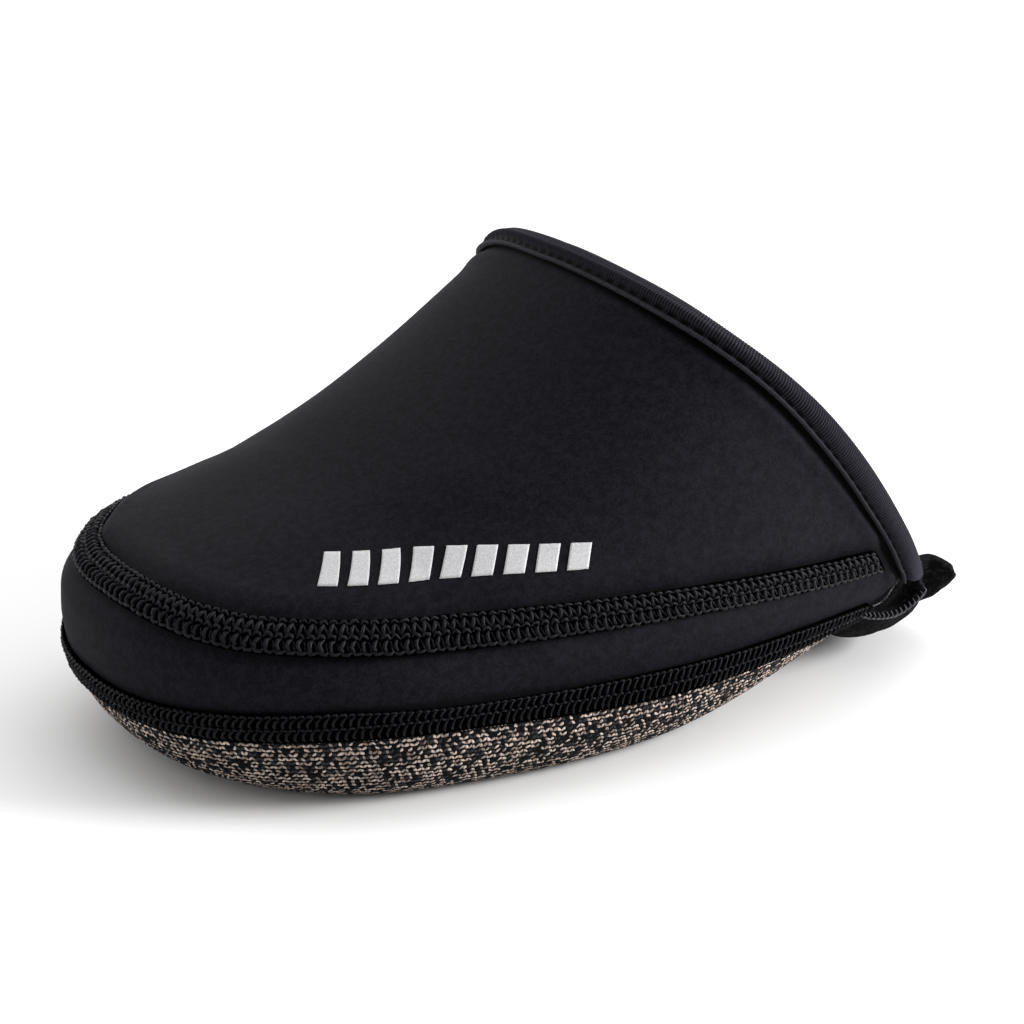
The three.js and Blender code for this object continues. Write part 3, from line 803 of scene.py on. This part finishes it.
def makeSeamBase(name, path, width, node):
    look = seamLook
    along = np.linspace(0, path.length, look["columns"])[None]
    across = np.linspace(-1, 1, look["acrossRows"])[:, None]
    off = form["gap"] + look["baseHeight"] * (1 - 0.4 * across**2)
    points = path.laid(along, across * width / 2, off)
    piece = clothGrid(name, points, along, across * width / 2, merge=0, turned=True)
    wall = look["baseHeight"] + form["gap"] + look["sink"]
    finishPiece(piece, "thread", node, seamBaseShadow, wall=wall)


# Sewn threads as tubes: strands are sets of points in millimetres, each with its radius.
def threadPiece(name, strands, material):
    curve = bpy.data.curves.new(name, "CURVE")
    curve.dimensions = "3D"
    curve.bevel_resolution = 1
    curve.bevel_depth = 0.001
    curve.use_fill_caps = True
    for points, radius in strands:
        spline = curve.splines.new("POLY")
        spline.points.add(len(points) - 1)
        row = np.concatenate([toFrame(points), np.ones((len(points), 1))], 1)
        spline.points.foreach_set("co", row.ravel())
        taper = np.full(len(points), float(radius))
        taper[[0, -1]] *= 0.7
        spline.points.foreach_set("radius", taper)
        spline.use_smooth = True
    finishPiece(meshFrom(addObject(name + "_line", curve), name), "thread", None, material)


def sewSeam(name, path, stitch, material, seed):
    pitch, start, sway = stitch["pitch"], 0.6, stitch["sway"]
    count = int((path.length - 2 * start) / pitch)
    chance = np.random.default_rng(seed)
    strands = []
    for radius, *bends in stitch["strands"]:
        bends = np.array(bends)
        at = start + pitch * np.arange(count)[:, None]
        stray = chance.normal(0, sway, (count, len(bends), 3))
        along = at + (1 - bends[None, :, 0]) * pitch + stray[..., 0]
        across = bends[None, :, 1] + stray[..., 1]
        off = bends[None, :, 2] + stray[..., 2] * 0.6
        points = path.laid(np.clip(along, 0, path.length), across, off)
        thick = radius * chance.normal(1, 0.08, count)
        strands += list(zip(points, thick))
    threadPiece(name, strands, material)


def meshFrom(holder, name):
    bpy.context.view_layer.update()
    mesh = bpy.data.meshes.new_from_object(
        holder.evaluated_get(bpy.context.evaluated_depsgraph_get())
    )
    mesh.name = name
    mesh.materials.clear()
    for polygon in mesh.polygons:
        polygon.use_smooth = True
    bpy.data.objects.remove(holder)
    return addObject(name, mesh)


# Strands of a stitch: the radius, then (share of the pitch, mm across, mm off the form) for
# each bend.
vampStitch = {
    "pitch": 1.76,
    "sway": 0.08,
    "strands": [
        (0.37, (0.0, 0.25, 0.6), (0.12, 0.85, 1.0), (0.3, 1.5, 1.05), (0.5, 2.2, 0.7)),
        (0.27, (0.5, 2.3, 0.6), (0.68, 1.6, 0.85), (0.85, 0.9, 0.85), (1.0, 0.3, 0.6)),
        (0.40, (0.5, -0.3, 0.6), (0.2, -0.95, 1.0), (0.1, -1.6, 1.0), (0.26, -2.3, 0.65)),
        (0.20, (0.6, -0.5, 0.5), (0.72, -1.1, 0.75), (0.8, -1.8, 0.75), (0.9, -2.3, 0.5)),
        (0.30, (-0.1, -0.2, 0.85), (0.2, 0.3, 1.2), (0.5, 0.15, 1.2), (0.66, -0.25, 0.95)),
        (0.28, (0.2, 2.4, 0.5), (0.35, 2.8, 0.8), (0.7, 2.85, 0.8), (0.98, 2.5, 0.6)),
        (0.30, (-0.02, -2.3, 0.65), (0.25, -2.7, 0.8), (0.6, -2.75, 0.8), (0.95, -2.35, 0.65)),
    ],
}
soleStitch = {
    "pitch": 1.4,
    "sway": 0.06,
    "strands": [
        (0.24, (0.1, 2.2, 0.5), (0.35, 2.6, 0.8), (0.7, 2.5, 0.8), (0.95, 2.1, 0.55)),
        (0.28, (0.8, 2.1, 0.6), (0.35, 1.6, 1.0), (0.2, 0.9, 1.0), (0.4, 0.25, 0.6)),
        (0.22, (0.0, 0.05, 0.75), (0.3, 0.25, 0.95), (0.6, 0.1, 0.95), (0.8, -0.15, 0.75)),
        (0.28, (1.2, -0.1, 0.6), (0.75, -0.7, 0.95), (0.65, -1.5, 0.95), (0.9, -2.3, 0.45)),
    ],
}

# A row of plain slanted dashes of reflective print, above the seam on the outer side.
stripLook = {
    "start": 62.0,
    "pitch": 6.1,
    "width": 4.1,
    "low": 9.6,
    "height": 6.0,
    "slants": [4.8, 4.85, 5.0, 5.05, 5.2, 4.75, 3.9, 3.05, 2.0],
    "steps": 11,
    "above": 1.5,  # where each dash starts from before it is laid on the cloth
    "lift": 0.06,
    "thickness": 0.14,
}


def makeStrip(upper):
    look = stripLook
    skin = BVHTree.FromObject(upper, bpy.context.evaluated_depsgraph_get())
    merged = bmesh.new()
    share = np.linspace(0, 1, look["steps"])
    up, over = np.meshgrid(share, share, indexing="ij")
    for i, slant in enumerate(look["slants"]):
        along = look["start"] + i * look["pitch"] + over * look["width"] - up * slant
        across = look["low"] + up * look["height"]
        points = vampPath.laid(along, across, np.full(along.shape, look["above"]))
        dash = clothGrid("dash", points, along, across, turned=True)
        for vertex in dash.data.vertices:
            spot, normal, _, _ = skin.find_nearest(vertex.co)
            vertex.co = spot + normal * (look["lift"] + look["thickness"]) * 0.001
        merged.from_mesh(dash.data)
        bpy.data.objects.remove(dash)
    mesh = bpy.data.meshes.new("reflective_dashes")
    merged.to_mesh(mesh)
    merged.free()
    piece = addObject("reflective_dashes", mesh)
    finishPiece(piece, None, None, film, wall=look["thickness"])  # the record has no such slot


print("seams")
vampPath = SeamPath(lineAtHeight(vampSeamHeight, seamRear), seamRear)
solePath = SeamPath(lineAtHeight(soleSeamLine, bandRear), bandRear)
makeSeamBase("vamp_seam_band", vampPath, edges["vampSeamWidth"], "vamp_seam")
makeSeamBase("sole_seam_band", solePath, edges["soleSeamWidth"], "sole_seam")
sewSeam("vamp_seam_threads", vampPath, vampStitch, thread, 3)
sewSeam("sole_seam_threads", solePath, soleStitch, shadedSoleThread, 5)
makeStrip(upperShell)


soleLook = {
    "toeColumns": 84,
    "edgeRows": 44,
    "edgeStep": 0.35,
    "flatRows": 26,
    "rowRelief": 0.16,
    "rowFade": 2,  # towards the flat rows
}
openingFront = soleEnd - edges["cleatLength"]


def openingHalfWidth(x):
    fromRound = np.clip((openingFront + edges["cleatRound"] - x) / edges["cleatRound"], 0, 1)
    return np.where(x <= openingFront, 0, edges["cleatWidth"] / 2 * np.sqrt(1 - fromRound**2))


def girthAtReach(lap, reach, rearAt):
    def beyond(girth):
        return np.abs(surfacePoint(lap, girth, rearAt)[..., 1]) > reach

    return findGirth(lap, 0, form["sideStart"], beyond)


# Laps with closer steps round the opening's front.
def soleLaps():
    xs = [np.linspace(toeCentre, openingFront, 22, endpoint=False)]
    turn = np.linspace(0, math.pi / 2, 34, endpoint=False)
    roundEnd = openingFront + edges["cleatRound"]
    xs.append(mix(roundEnd, openingFront, np.cos(turn)))
    xs.append(np.linspace(roundEnd, soleEnd, 36))
    body = 1 + (np.concatenate(xs) - toeCentre) / (soleEnd - toeCentre)
    return lapsRound(soleLook["toeColumns"], body)


def makeSole():
    look = soleLook
    laps = soleLaps()
    line = lineAtHeight(soleSeamLine, soleRear)
    seam = line(laps)
    top = seam - form["gap"] / 2 / girthSpeed(laps, seam, soleRear)
    x = outlineX(laps, form["flatEnd"], soleRear)
    half = openingHalfWidth(x)
    closed = (np.abs(laps) < 1) | (half == 0)
    inside = np.where(closed, 0, girthAtReach(laps, np.maximum(half, 1e-6), soleRear))
    # a fine table of the girth against the distance from the top edge
    shares = np.linspace(0, 1, 161)[:, None]
    fineGirth = mix(top, inside, shares)
    down = lengths(surfacePoint(laps, fineGirth, soleRear), 0)
    fixed = look["edgeStep"] * np.arange(look["edgeRows"] + 1)
    rest = np.linspace(fixed[-1], down[-1], look["flatRows"] + 1)[1:]
    depth = np.concatenate([np.broadcast_to(fixed[:, None], (len(fixed), len(laps))), rest])
    columns = zip(depth.T, down.T, fineGirth.T)
    girths = np.stack([np.interp(*column) for column in columns], 1)
    alongRow = lengths(surfacePoint(laps, top, soleRear)[None], 1)
    ridges = np.abs(np.sin(depth / knitLook["rowPitch"] * math.pi)) - 0.6
    fade = 1 - smooth((depth - fixed[-1] + look["rowFade"]) / look["rowFade"])
    off = look["rowRelief"] * (ridges * fade)
    points = laidOn(laps, girths, soleRear, off)
    piece = clothGrid("sole_shell", points, alongRow, depth)
    finishPiece(piece, "knit", "sole", knit, lining, wall=edges["soleWall"])


print("sole")
makeSole()


# The binding's section: millimetres in front of the collar's edge, and off the form. Its lip
# and face are told from the front edge and the face's height.
bindingFace = [
    (0.1, 0), (-0.05, 0.17), (-0.3, 0.15), (-0.48, -0.12), (-0.62, -0.5), (-0.85, -0.72),
    (-1.1, -0.6), (-1.3, -0.25), (-1.7, 0.08), (-2.3, 0.28), (-3.0, 0.36), (-3.7, 0.3), (-4.4, 0.1),
]


def bindingSection():
    width, gap = edges["bindingWidth"], form["gap"]
    top = gap + edges["bindingThickness"]
    under = -edges["upperWall"] - gap
    far = under - edges["bindingThickness"]
    outside = [(width, gap + 0.1), (width + 0.12, gap + 0.55)]
    outside += [(width + before, top + off) for before, off in bindingFace]
    outside += [(0.0, top - 0.25), (-0.5, top - 0.6), (-1.0, top - 1.15)]
    outside += [(-overhang, mix(top, far, 0.4)), (-overhang, mix(top, far, 0.6))]
    outside += [(-1.1, far + 0.75), (-0.6, far + 0.25)]
    inside = [(0.2, far), (width * 0.5, far), (width - 0.6, far), (width, far + 0.3)]
    inside += [(width, under), (width * 0.5, under), (-gap, under), (-gap, gap), (width * 0.5, gap)]
    return np.array(outside), np.array(inside)


# The collar's line is told by shares: 0 to 1 up the outer panel, 1 to 2 over the vamp to
# the ridge, and on to 4 down the inner side.
def collarPlace(share, before):
    side = np.where(share <= 2, -1.0, 1.0)
    share = np.where(share <= 2, share, 4 - share)

    def girthAt(lap):
        low, seam = lowerEdge(lap), vampLine(lap)
        return np.where(share <= 1, mix(low, seam, share), mix(seam, 1, share - 1))

    lap = side * (2 - before / (collarEdge(girthAt(2 * side)) - toeCentre))
    return lap, girthAt(lap)


def makeBinding():
    look = bindingLook
    outside, inside = bindingSection()
    section = np.concatenate([outside, inside])
    fine = np.linspace(0, 4, look["fineSteps"])
    line = surfacePoint(*collarPlace(fine, 0 * fine), collarEdge)
    along = lengths(line[None], 1)[0]
    place = np.linspace(0, along[-1], int(along[-1] / look["ringStep"]))
    share = np.interp(place, along, fine)
    # how far a line square to the edge moves along it for each millimetre forward
    edgeLine = surfacePoint(*collarPlace(share, 0 * share), collarEdge)
    ahead = surfacePoint(*collarPlace(share, 0 * share + 1), collarEdge) - edgeLine
    slant = (ahead * unit(np.gradient(edgeLine, axis=0))).sum(-1)
    slant = slant * smooth(np.minimum(place, along[-1] - place) / look["endFade"])
    before, off = section[None, :, 0], section[None, :, 1]
    width = edges["bindingWidth"]
    rolledShare = np.clip(before / (width - look["lipWidth"]), 0, 1) * (off > 0)
    forward = before - collarCut(share)[:, None] * rolledShare
    fuller = look["bulge"] * bellAt(np.minimum(share, 4 - share), *look["bulgeAt"])
    forward = forward - fuller[:, None] * (1 - smooth(before / width))
    moved = np.clip(place[:, None] - forward * slant[:, None], 0, along[-1])
    lap, girth = collarPlace(np.interp(moved, along, fine), forward)
    place = place[:, None]
    onFace = np.concatenate([np.ones(len(outside)), np.zeros(len(inside))])[None]
    rolled = onFace * smooth((width - 1.2 - before) / 0.5)
    rib = np.sin(2 * math.pi * place / look["ribPitch"])
    pinch = np.cos(2 * math.pi * place / look["stitchPitch"])
    groove = onFace * bellAt(before, width - look["groove"], look["grooveWidth"])
    wave = 0.08 * np.sin(place / 5.3) + 0.05 * np.sin(place / 2.9 + 1)
    lift = rolled * look["ribHeight"] * rib + groove * look["pinch"] * pinch
    lift = lift + rolled * look["facePinch"] * pinch * bellAt(before, width - 2.0, 0.7)
    lift = lift + onFace * bellAt(before, width - 0.2, 0.6) * wave
    points = laidOn(lap, girth, collarEdge, off + lift)
    points = np.concatenate([points, points[:, :1]], 1)  # the section closes on itself
    closed = np.concatenate([section, section[:1]])
    # Painted highlight on the lip (negative shade) and painted shadow in the stitch groove (positive
    # shade).
    lipHighlight = onFace * bellAt(before, width, 0.3) * (off > form["gap"] + 0.4)
    mark = groove - lipHighlight
    shade = np.concatenate([mark, mark[:, :1]], 1)
    around = lengths(closed[None], 1)
    closedPiece("collar_binding_cloth", "collar_binding", points, place, around, shade)


# A tube of ribbed tape, closed at its two ends.
def closedPiece(name, node, points, along, across, shade=None):
    piece = clothGrid(name, points, along, across, merge=0.000005, shade=shade)
    bm = bmesh.new()
    bm.from_mesh(piece.data)
    rims = [edge for edge in bm.edges if edge.is_boundary]
    bmesh.ops.holes_fill(bm, edges=rims, sides=0)
    bmesh.ops.recalc_face_normals(bm, faces=bm.faces)
    bm.to_mesh(piece.data)
    bm.free()
    finishPiece(piece, "binding", node, ribbed)


print("binding")
makeBinding()


strapLook = {
    "outerWidth": 28.7,
    "innerWidth": 28.0,
    "thickness": 1.6,
    "layer": 0.2,
    "tuck": 0.7,
    "corner": 5.0,
    "tab": 16.0,
    "flare": 0.8,
    "drop": 6.0,
    "innerBelowSeam": 1.2,
    "behindCollar": 4.7,
    "looseFrom": (0.3, 0.4),  # shares of the girth: where it starts, over how much
    "flareFrom": (0.6, 0.4),
    "behindFrom": (5.5, 3.2),  # millimetres above the sole seam
    "behindTo": (0.7, 0.16),  # shares of the width
    "sewnShare": 0.53,
    "loopHeight": 0.07,
    "rimFade": 2.5,
    "outerReach": 18.0,
    "innerReach": 20.0,
}
strapTable = {
    "along": [0, 0.18, 0.33, 0.47, 0.58, 0.7, 0.85, 1],
    "above": [-0.08, 0.18, 0.36, 0.62, 0.9, 0.9, 0.76, 0.42],
    "drop": [0, 0.66, 0.95, 1, 0.96, 0.84, 0.58, 0.25],
}
strapEdgeAbove = curveThrough(strapTable["along"], np.array(strapTable["above"]) * strapLook["tab"])
strapHang = curveThrough(strapTable["along"], np.array(strapTable["drop"]) * strapLook["drop"])


def strapSheet(side, rear, reach, xs, above, acrossCount):
    rearAt = straightRear(rear)
    laps = side * (1 + (xs - toeCentre) / (rear - toeCentre))
    line = lineAtHeight(soleSeamLine, rearAt)
    seam = line(laps)
    edge = seam + above / girthSpeed(laps, seam, rearAt)
    far = -girthAtReach(-laps, reach, rearAt)
    share = np.linspace(0, 1, acrossCount)[:, None]
    middle = 0.3
    upwards = mix(0, edge, (share - middle) / (1 - middle))
    girths = np.where(share < middle, mix(far, 0, share / middle), upwards)
    return surfacePoint(laps, girths, rearAt), surfaceNormal(laps, girths, rearAt), girths / edge


# The loops' uneven height, soft enough for the tape's wall to follow, and even at its rims.
def loopRelief(shape, height, seed):
    relief = np.random.default_rng(seed).normal(0, 1, shape)
    for axis in (0, 1, 0, 1):
        relief = (np.roll(relief, 1, axis) + relief + np.roll(relief, -1, axis)) / 3
    rows = np.minimum(np.arange(shape[0]), np.arange(shape[0])[::-1])[:, None]
    columns = np.minimum(np.arange(shape[1]), np.arange(shape[1])[::-1])[None]
    rim = smooth(np.minimum(rows, columns) / 4)  # over four steps of the grid
    return relief / relief.std() * height * rim


def layTape(name, node, points, xs, turned=False):
    piece = clothGrid(name, points, xs, lengths(points, 0), turned=turned)
    finishPiece(piece, "loop_tape", node, loops, wall=strapLook["thickness"])


def makeOuterStrap():
    look = strapLook
    rear = strapFront + look["outerWidth"]
    straight = np.linspace(strapFront - look["tuck"], rear - look["corner"], 56, endpoint=False)
    turn = np.linspace(0, math.pi / 2, 18)
    xs = np.concatenate([straight, rear - look["corner"] * (1 - np.sin(turn))])
    along = np.maximum(xs - strapFront, 0) / look["outerWidth"]
    fromCorner = np.clip(1 - (rear - xs) / look["corner"], 0, 1)
    rounded = look["corner"] * (1 - np.sqrt(1 - fromCorner**2))
    above = strapEdgeAbove(along) - rounded
    points, normals, share = strapSheet(-1, rear, look["outerReach"], xs, above, 150)
    hang = strapHang(along) * rise(share, *look["looseFrom"])
    height = above * share - hang  # above the sole seam
    behind = rise(height, *look["behindFrom"]) * (1 - rise(along, *look["behindTo"]))
    off = look["flare"] * along * rise(share, *look["flareFrom"]) - look["behindCollar"] * behind
    points[..., 2] -= hang
    fuzz = loopRelief(off.shape, look["loopHeight"], 11) * smooth((rear - xs) / look["rimFade"])
    points = points + normals * (off - look["layer"])[..., None]
    sewn = along < look["sewnShare"]
    edge = points[-1, sewn], unit(points[-7] - points[-1])[sewn], normals[-1, sewn]
    points = points + normals * fuzz[..., None]
    layTape("outer_strap_tape", "outer_strap", points, xs)
    return edge


def makeInnerStrap():
    look = strapLook
    rear = strapFront + look["innerWidth"]
    xs = np.linspace(strapFront - look["tuck"], rear, 50)
    above = np.full(xs.shape, -look["innerBelowSeam"])
    points, normals, _ = strapSheet(1, rear, look["innerReach"], xs, above, 110)
    layer = look["layer"] + look["thickness"] + form["gap"]
    fuzz = loopRelief(points.shape[:2], look["loopHeight"], 12)
    points = points + normals * (fuzz - layer)[..., None]
    layTape("inner_strap_tape", "inner_strap", points, xs, turned=True)


edgeStitch = {"pitch": 1.05, "bite": 0.85, "radius": 0.15, "sway": 0.09}


# Overlock along an edge: given points on it, the way into the cloth and the way off its face.
def overlock(edge, inwards, outwards, thickness, chance):
    look = edgeStitch
    along = lengths(edge[None], 1)[0]
    count = int(along[-1] / look["pitch"])
    strands = []

    def at(place, values):
        return np.stack([np.interp(place, along, values[:, k]) for k in range(3)], -1)

    for i in range(count):
        bite = look["bite"] + chance.normal(0, look["sway"])
        wrap = [(0.0, bite, 0.22), (0.3, bite * 0.5, 0.35), (0.5, -0.05, 0.2)]
        wrap.append((0.55, -0.25, -0.4 * thickness))
        chain = [(0.0, bite, 0.3), (0.5, bite + 0.12, 0.35), (1.0, bite, 0.3)]
        for bends in (wrap, chain):
            bends = np.array(bends)
            place = (i + bends[:, 0]) * look["pitch"]
            into, off = bends[:, 1:2], bends[:, 2:3]
            points = at(place, edge) + at(place, inwards) * into + at(place, outwards) * off
            strands.append((points, look["radius"]))
    return strands


# The upper's lower edge where it lifts off the sole seam, on the outer side.
def liftedEdge():
    lap = np.linspace(-1.875, -1.945, 60)
    girth = lowerEdge(lap)
    edge = surfacePoint(lap, girth, collarEdge)
    above = surfacePoint(lap, girth + 0.01, collarEdge)
    return edge, unit(above - edge), surfaceNormal(lap, girth, collarEdge)


print("straps")
strapEdge = makeOuterStrap()
makeInnerStrap()
edgeChance = np.random.default_rng(21)
edgeStrands = overlock(*strapEdge, strapLook["thickness"], edgeChance)
edgeStrands += overlock(*liftedEdge(), edges["upperWall"], edgeChance)
threadPiece("strap_edge_threads", edgeStrands, edgeThread)


cleatLook = {
    "width": 2.4,
    "height": 2.8,
    "lift": 0.15,
    "bite": 0.2,
    "toStrap": 1.2,
    "ribPitch": 1.1,
    "ribHeight": 0.05,
    "squareness": 0.75,
    "turnSteps": 60,
    "straightSteps": 60,
}


def makeCleatEdge():
    look = cleatLook
    roundEnd = openingFront + edges["cleatRound"]
    rear = soleEnd - look["toStrap"]
    half = edges["cleatWidth"] / 2
    angle = np.linspace(0, math.pi, 2 * look["turnSteps"] + 1)
    straight = np.linspace(rear, roundEnd, look["straightSteps"], endpoint=False)
    xs = np.concatenate([straight, roundEnd - edges["cleatRound"] * np.sin(angle), straight[::-1]])
    side = np.full(straight.shape, half)
    ys = np.concatenate([side, half * np.cos(angle), -side])
    path = np.stack([xs, ys, soleHeight(xs) + look["lift"]], -1)
    ahead = np.gradient(path, axis=0)
    ahead[:, 2] = 0
    upwards = np.array([0, 0, 1.0])
    inwards = unit(np.cross(upwards, ahead))
    turns = np.linspace(0, 2 * math.pi, 21)
    place = lengths(path[None], 1)[0]
    wrap = 1 + look["ribHeight"] * np.sin(2 * math.pi * place / look["ribPitch"])[:, None]
    squash = lambda shares: np.sign(shares) * np.abs(shares) ** look["squareness"]
    across = look["width"] / 2 * (1 + squash(np.cos(turns)) * 0.95 * wrap) - look["bite"]
    up = look["height"] / 2 * (1 + squash(np.sin(turns)) * 0.95 * wrap)
    points = path[:, None] + inwards[:, None] * across[..., None] + upwards * up[..., None]
    closedPiece("cleat_opening_binding", "cleat_opening_edge", points, place[:, None], turns)


makeCleatEdge()


view = {
    "place": (-0.21765, -0.39774, 0.19744),
    "ahead": (0.4622, 0.8510, -0.2494),
    "right": (0.8787, -0.4773, 0.0),
    "picture": 1024,
    "aimPixel": (628.0, 699.0),
    "photoFocal": 2044.4,
    "zoom": 1.27,
}


def makeCamera():
    data = bpy.data.cameras.new("camera")
    camera = addObject("camera", data)
    ahead = Vector(view["ahead"]).normalized()
    right = Vector(view["right"]).normalized()
    up = right.cross(ahead).normalized()
    focal, middle = view["photoFocal"], view["picture"] / 2
    px, py = view["aimPixel"]
    aim = (ahead * focal + right * (px - middle) - up * (py - middle)).normalized()
    right = aim.cross(Vector((0, 0, 1))).normalized()
    turn = Matrix((right, right.cross(aim).normalized(), -aim)).transposed().to_4x4()
    camera.matrix_world = Matrix.Translation(view["place"]) @ turn
    data.sensor_width = 36
    data.lens = focal * view["zoom"] * data.sensor_width / view["picture"]
    data.clip_start = 0.01
    bpy.context.scene.camera = camera


stage = {
    "floor": 0.88,
    "horizon": 1.5,
    "overhead": 1.8,
    "flagAt": (-0.62, -0.7, 0.42),  # the dim part of the room, behind the camera
    "flagDepth": 0.97,
}


def makeStage():
    floor = addObject("floor", gridMesh("floor", 2, 2, 3))
    tone = stage["floor"]
    finish = Finish("floor_paint", (tone, tone, tone), 0.9, 0.0)
    finish.colour(finish.blend(finish.noise(8), (tone - 0.01,) * 3, (tone + 0.01,) * 3))
    floor.data.materials.append(finish.material)
    makeSky()


# A white room that is brighter overhead and dim in one direction.
def makeSky():
    world = bpy.data.worlds.new("studio")
    world.use_nodes = True
    sky = Nodes(world.node_tree)
    direction = sky.node("TexCoord")["Generated"]
    up = sky.node("SeparateXYZ", {}, [direction])["Z"]
    flag = Vector(stage["flagAt"]).normalized()
    product = {"operation": "DOT_PRODUCT"}
    towards = sky.node("VectorMath", product, [direction, tuple(flag)])["Value"]
    dimmed = towards.ramp(0.3, 0.85) * up.ramp(0.05, 0.2) * stage["flagDepth"]
    light = stage["horizon"] + up.ramp(0.3, 0.9) * (stage["overhead"] - stage["horizon"])
    background = world.node_tree.nodes["Background"]
    background.inputs["Color"].default_value = (1, 1, 1, 1)
    sky.feed(background.inputs["Strength"], light * (1 - dimmed))
    bpy.context.scene.world = world


lampAim = (0.02, 0, 0.03)
lamps = [
    {"name": "left_box", "place": (-0.75, 0.2, 0.16), "size": 0.3, "power": 0.7},
    {"name": "right_box", "place": (0.7, -0.5, 0.35), "size": 0.35, "power": 10.5},
]


def makeLamps():
    for lamp in lamps:
        data = bpy.data.lights.new(lamp["name"], "AREA")
        data.shape = "SQUARE"
        data.size = lamp["size"]
        data.energy = lamp["power"]
        made = addObject(lamp["name"], data)
        made.location = lamp["place"]
        towards = Vector(lampAim) - made.location
        made.rotation_euler = towards.to_track_quat("-Z", "Y").to_euler()


print("stage")
bpy.context.scene.view_settings.view_transform = "Standard"
makeStage()
makeLamps()
makeCamera()
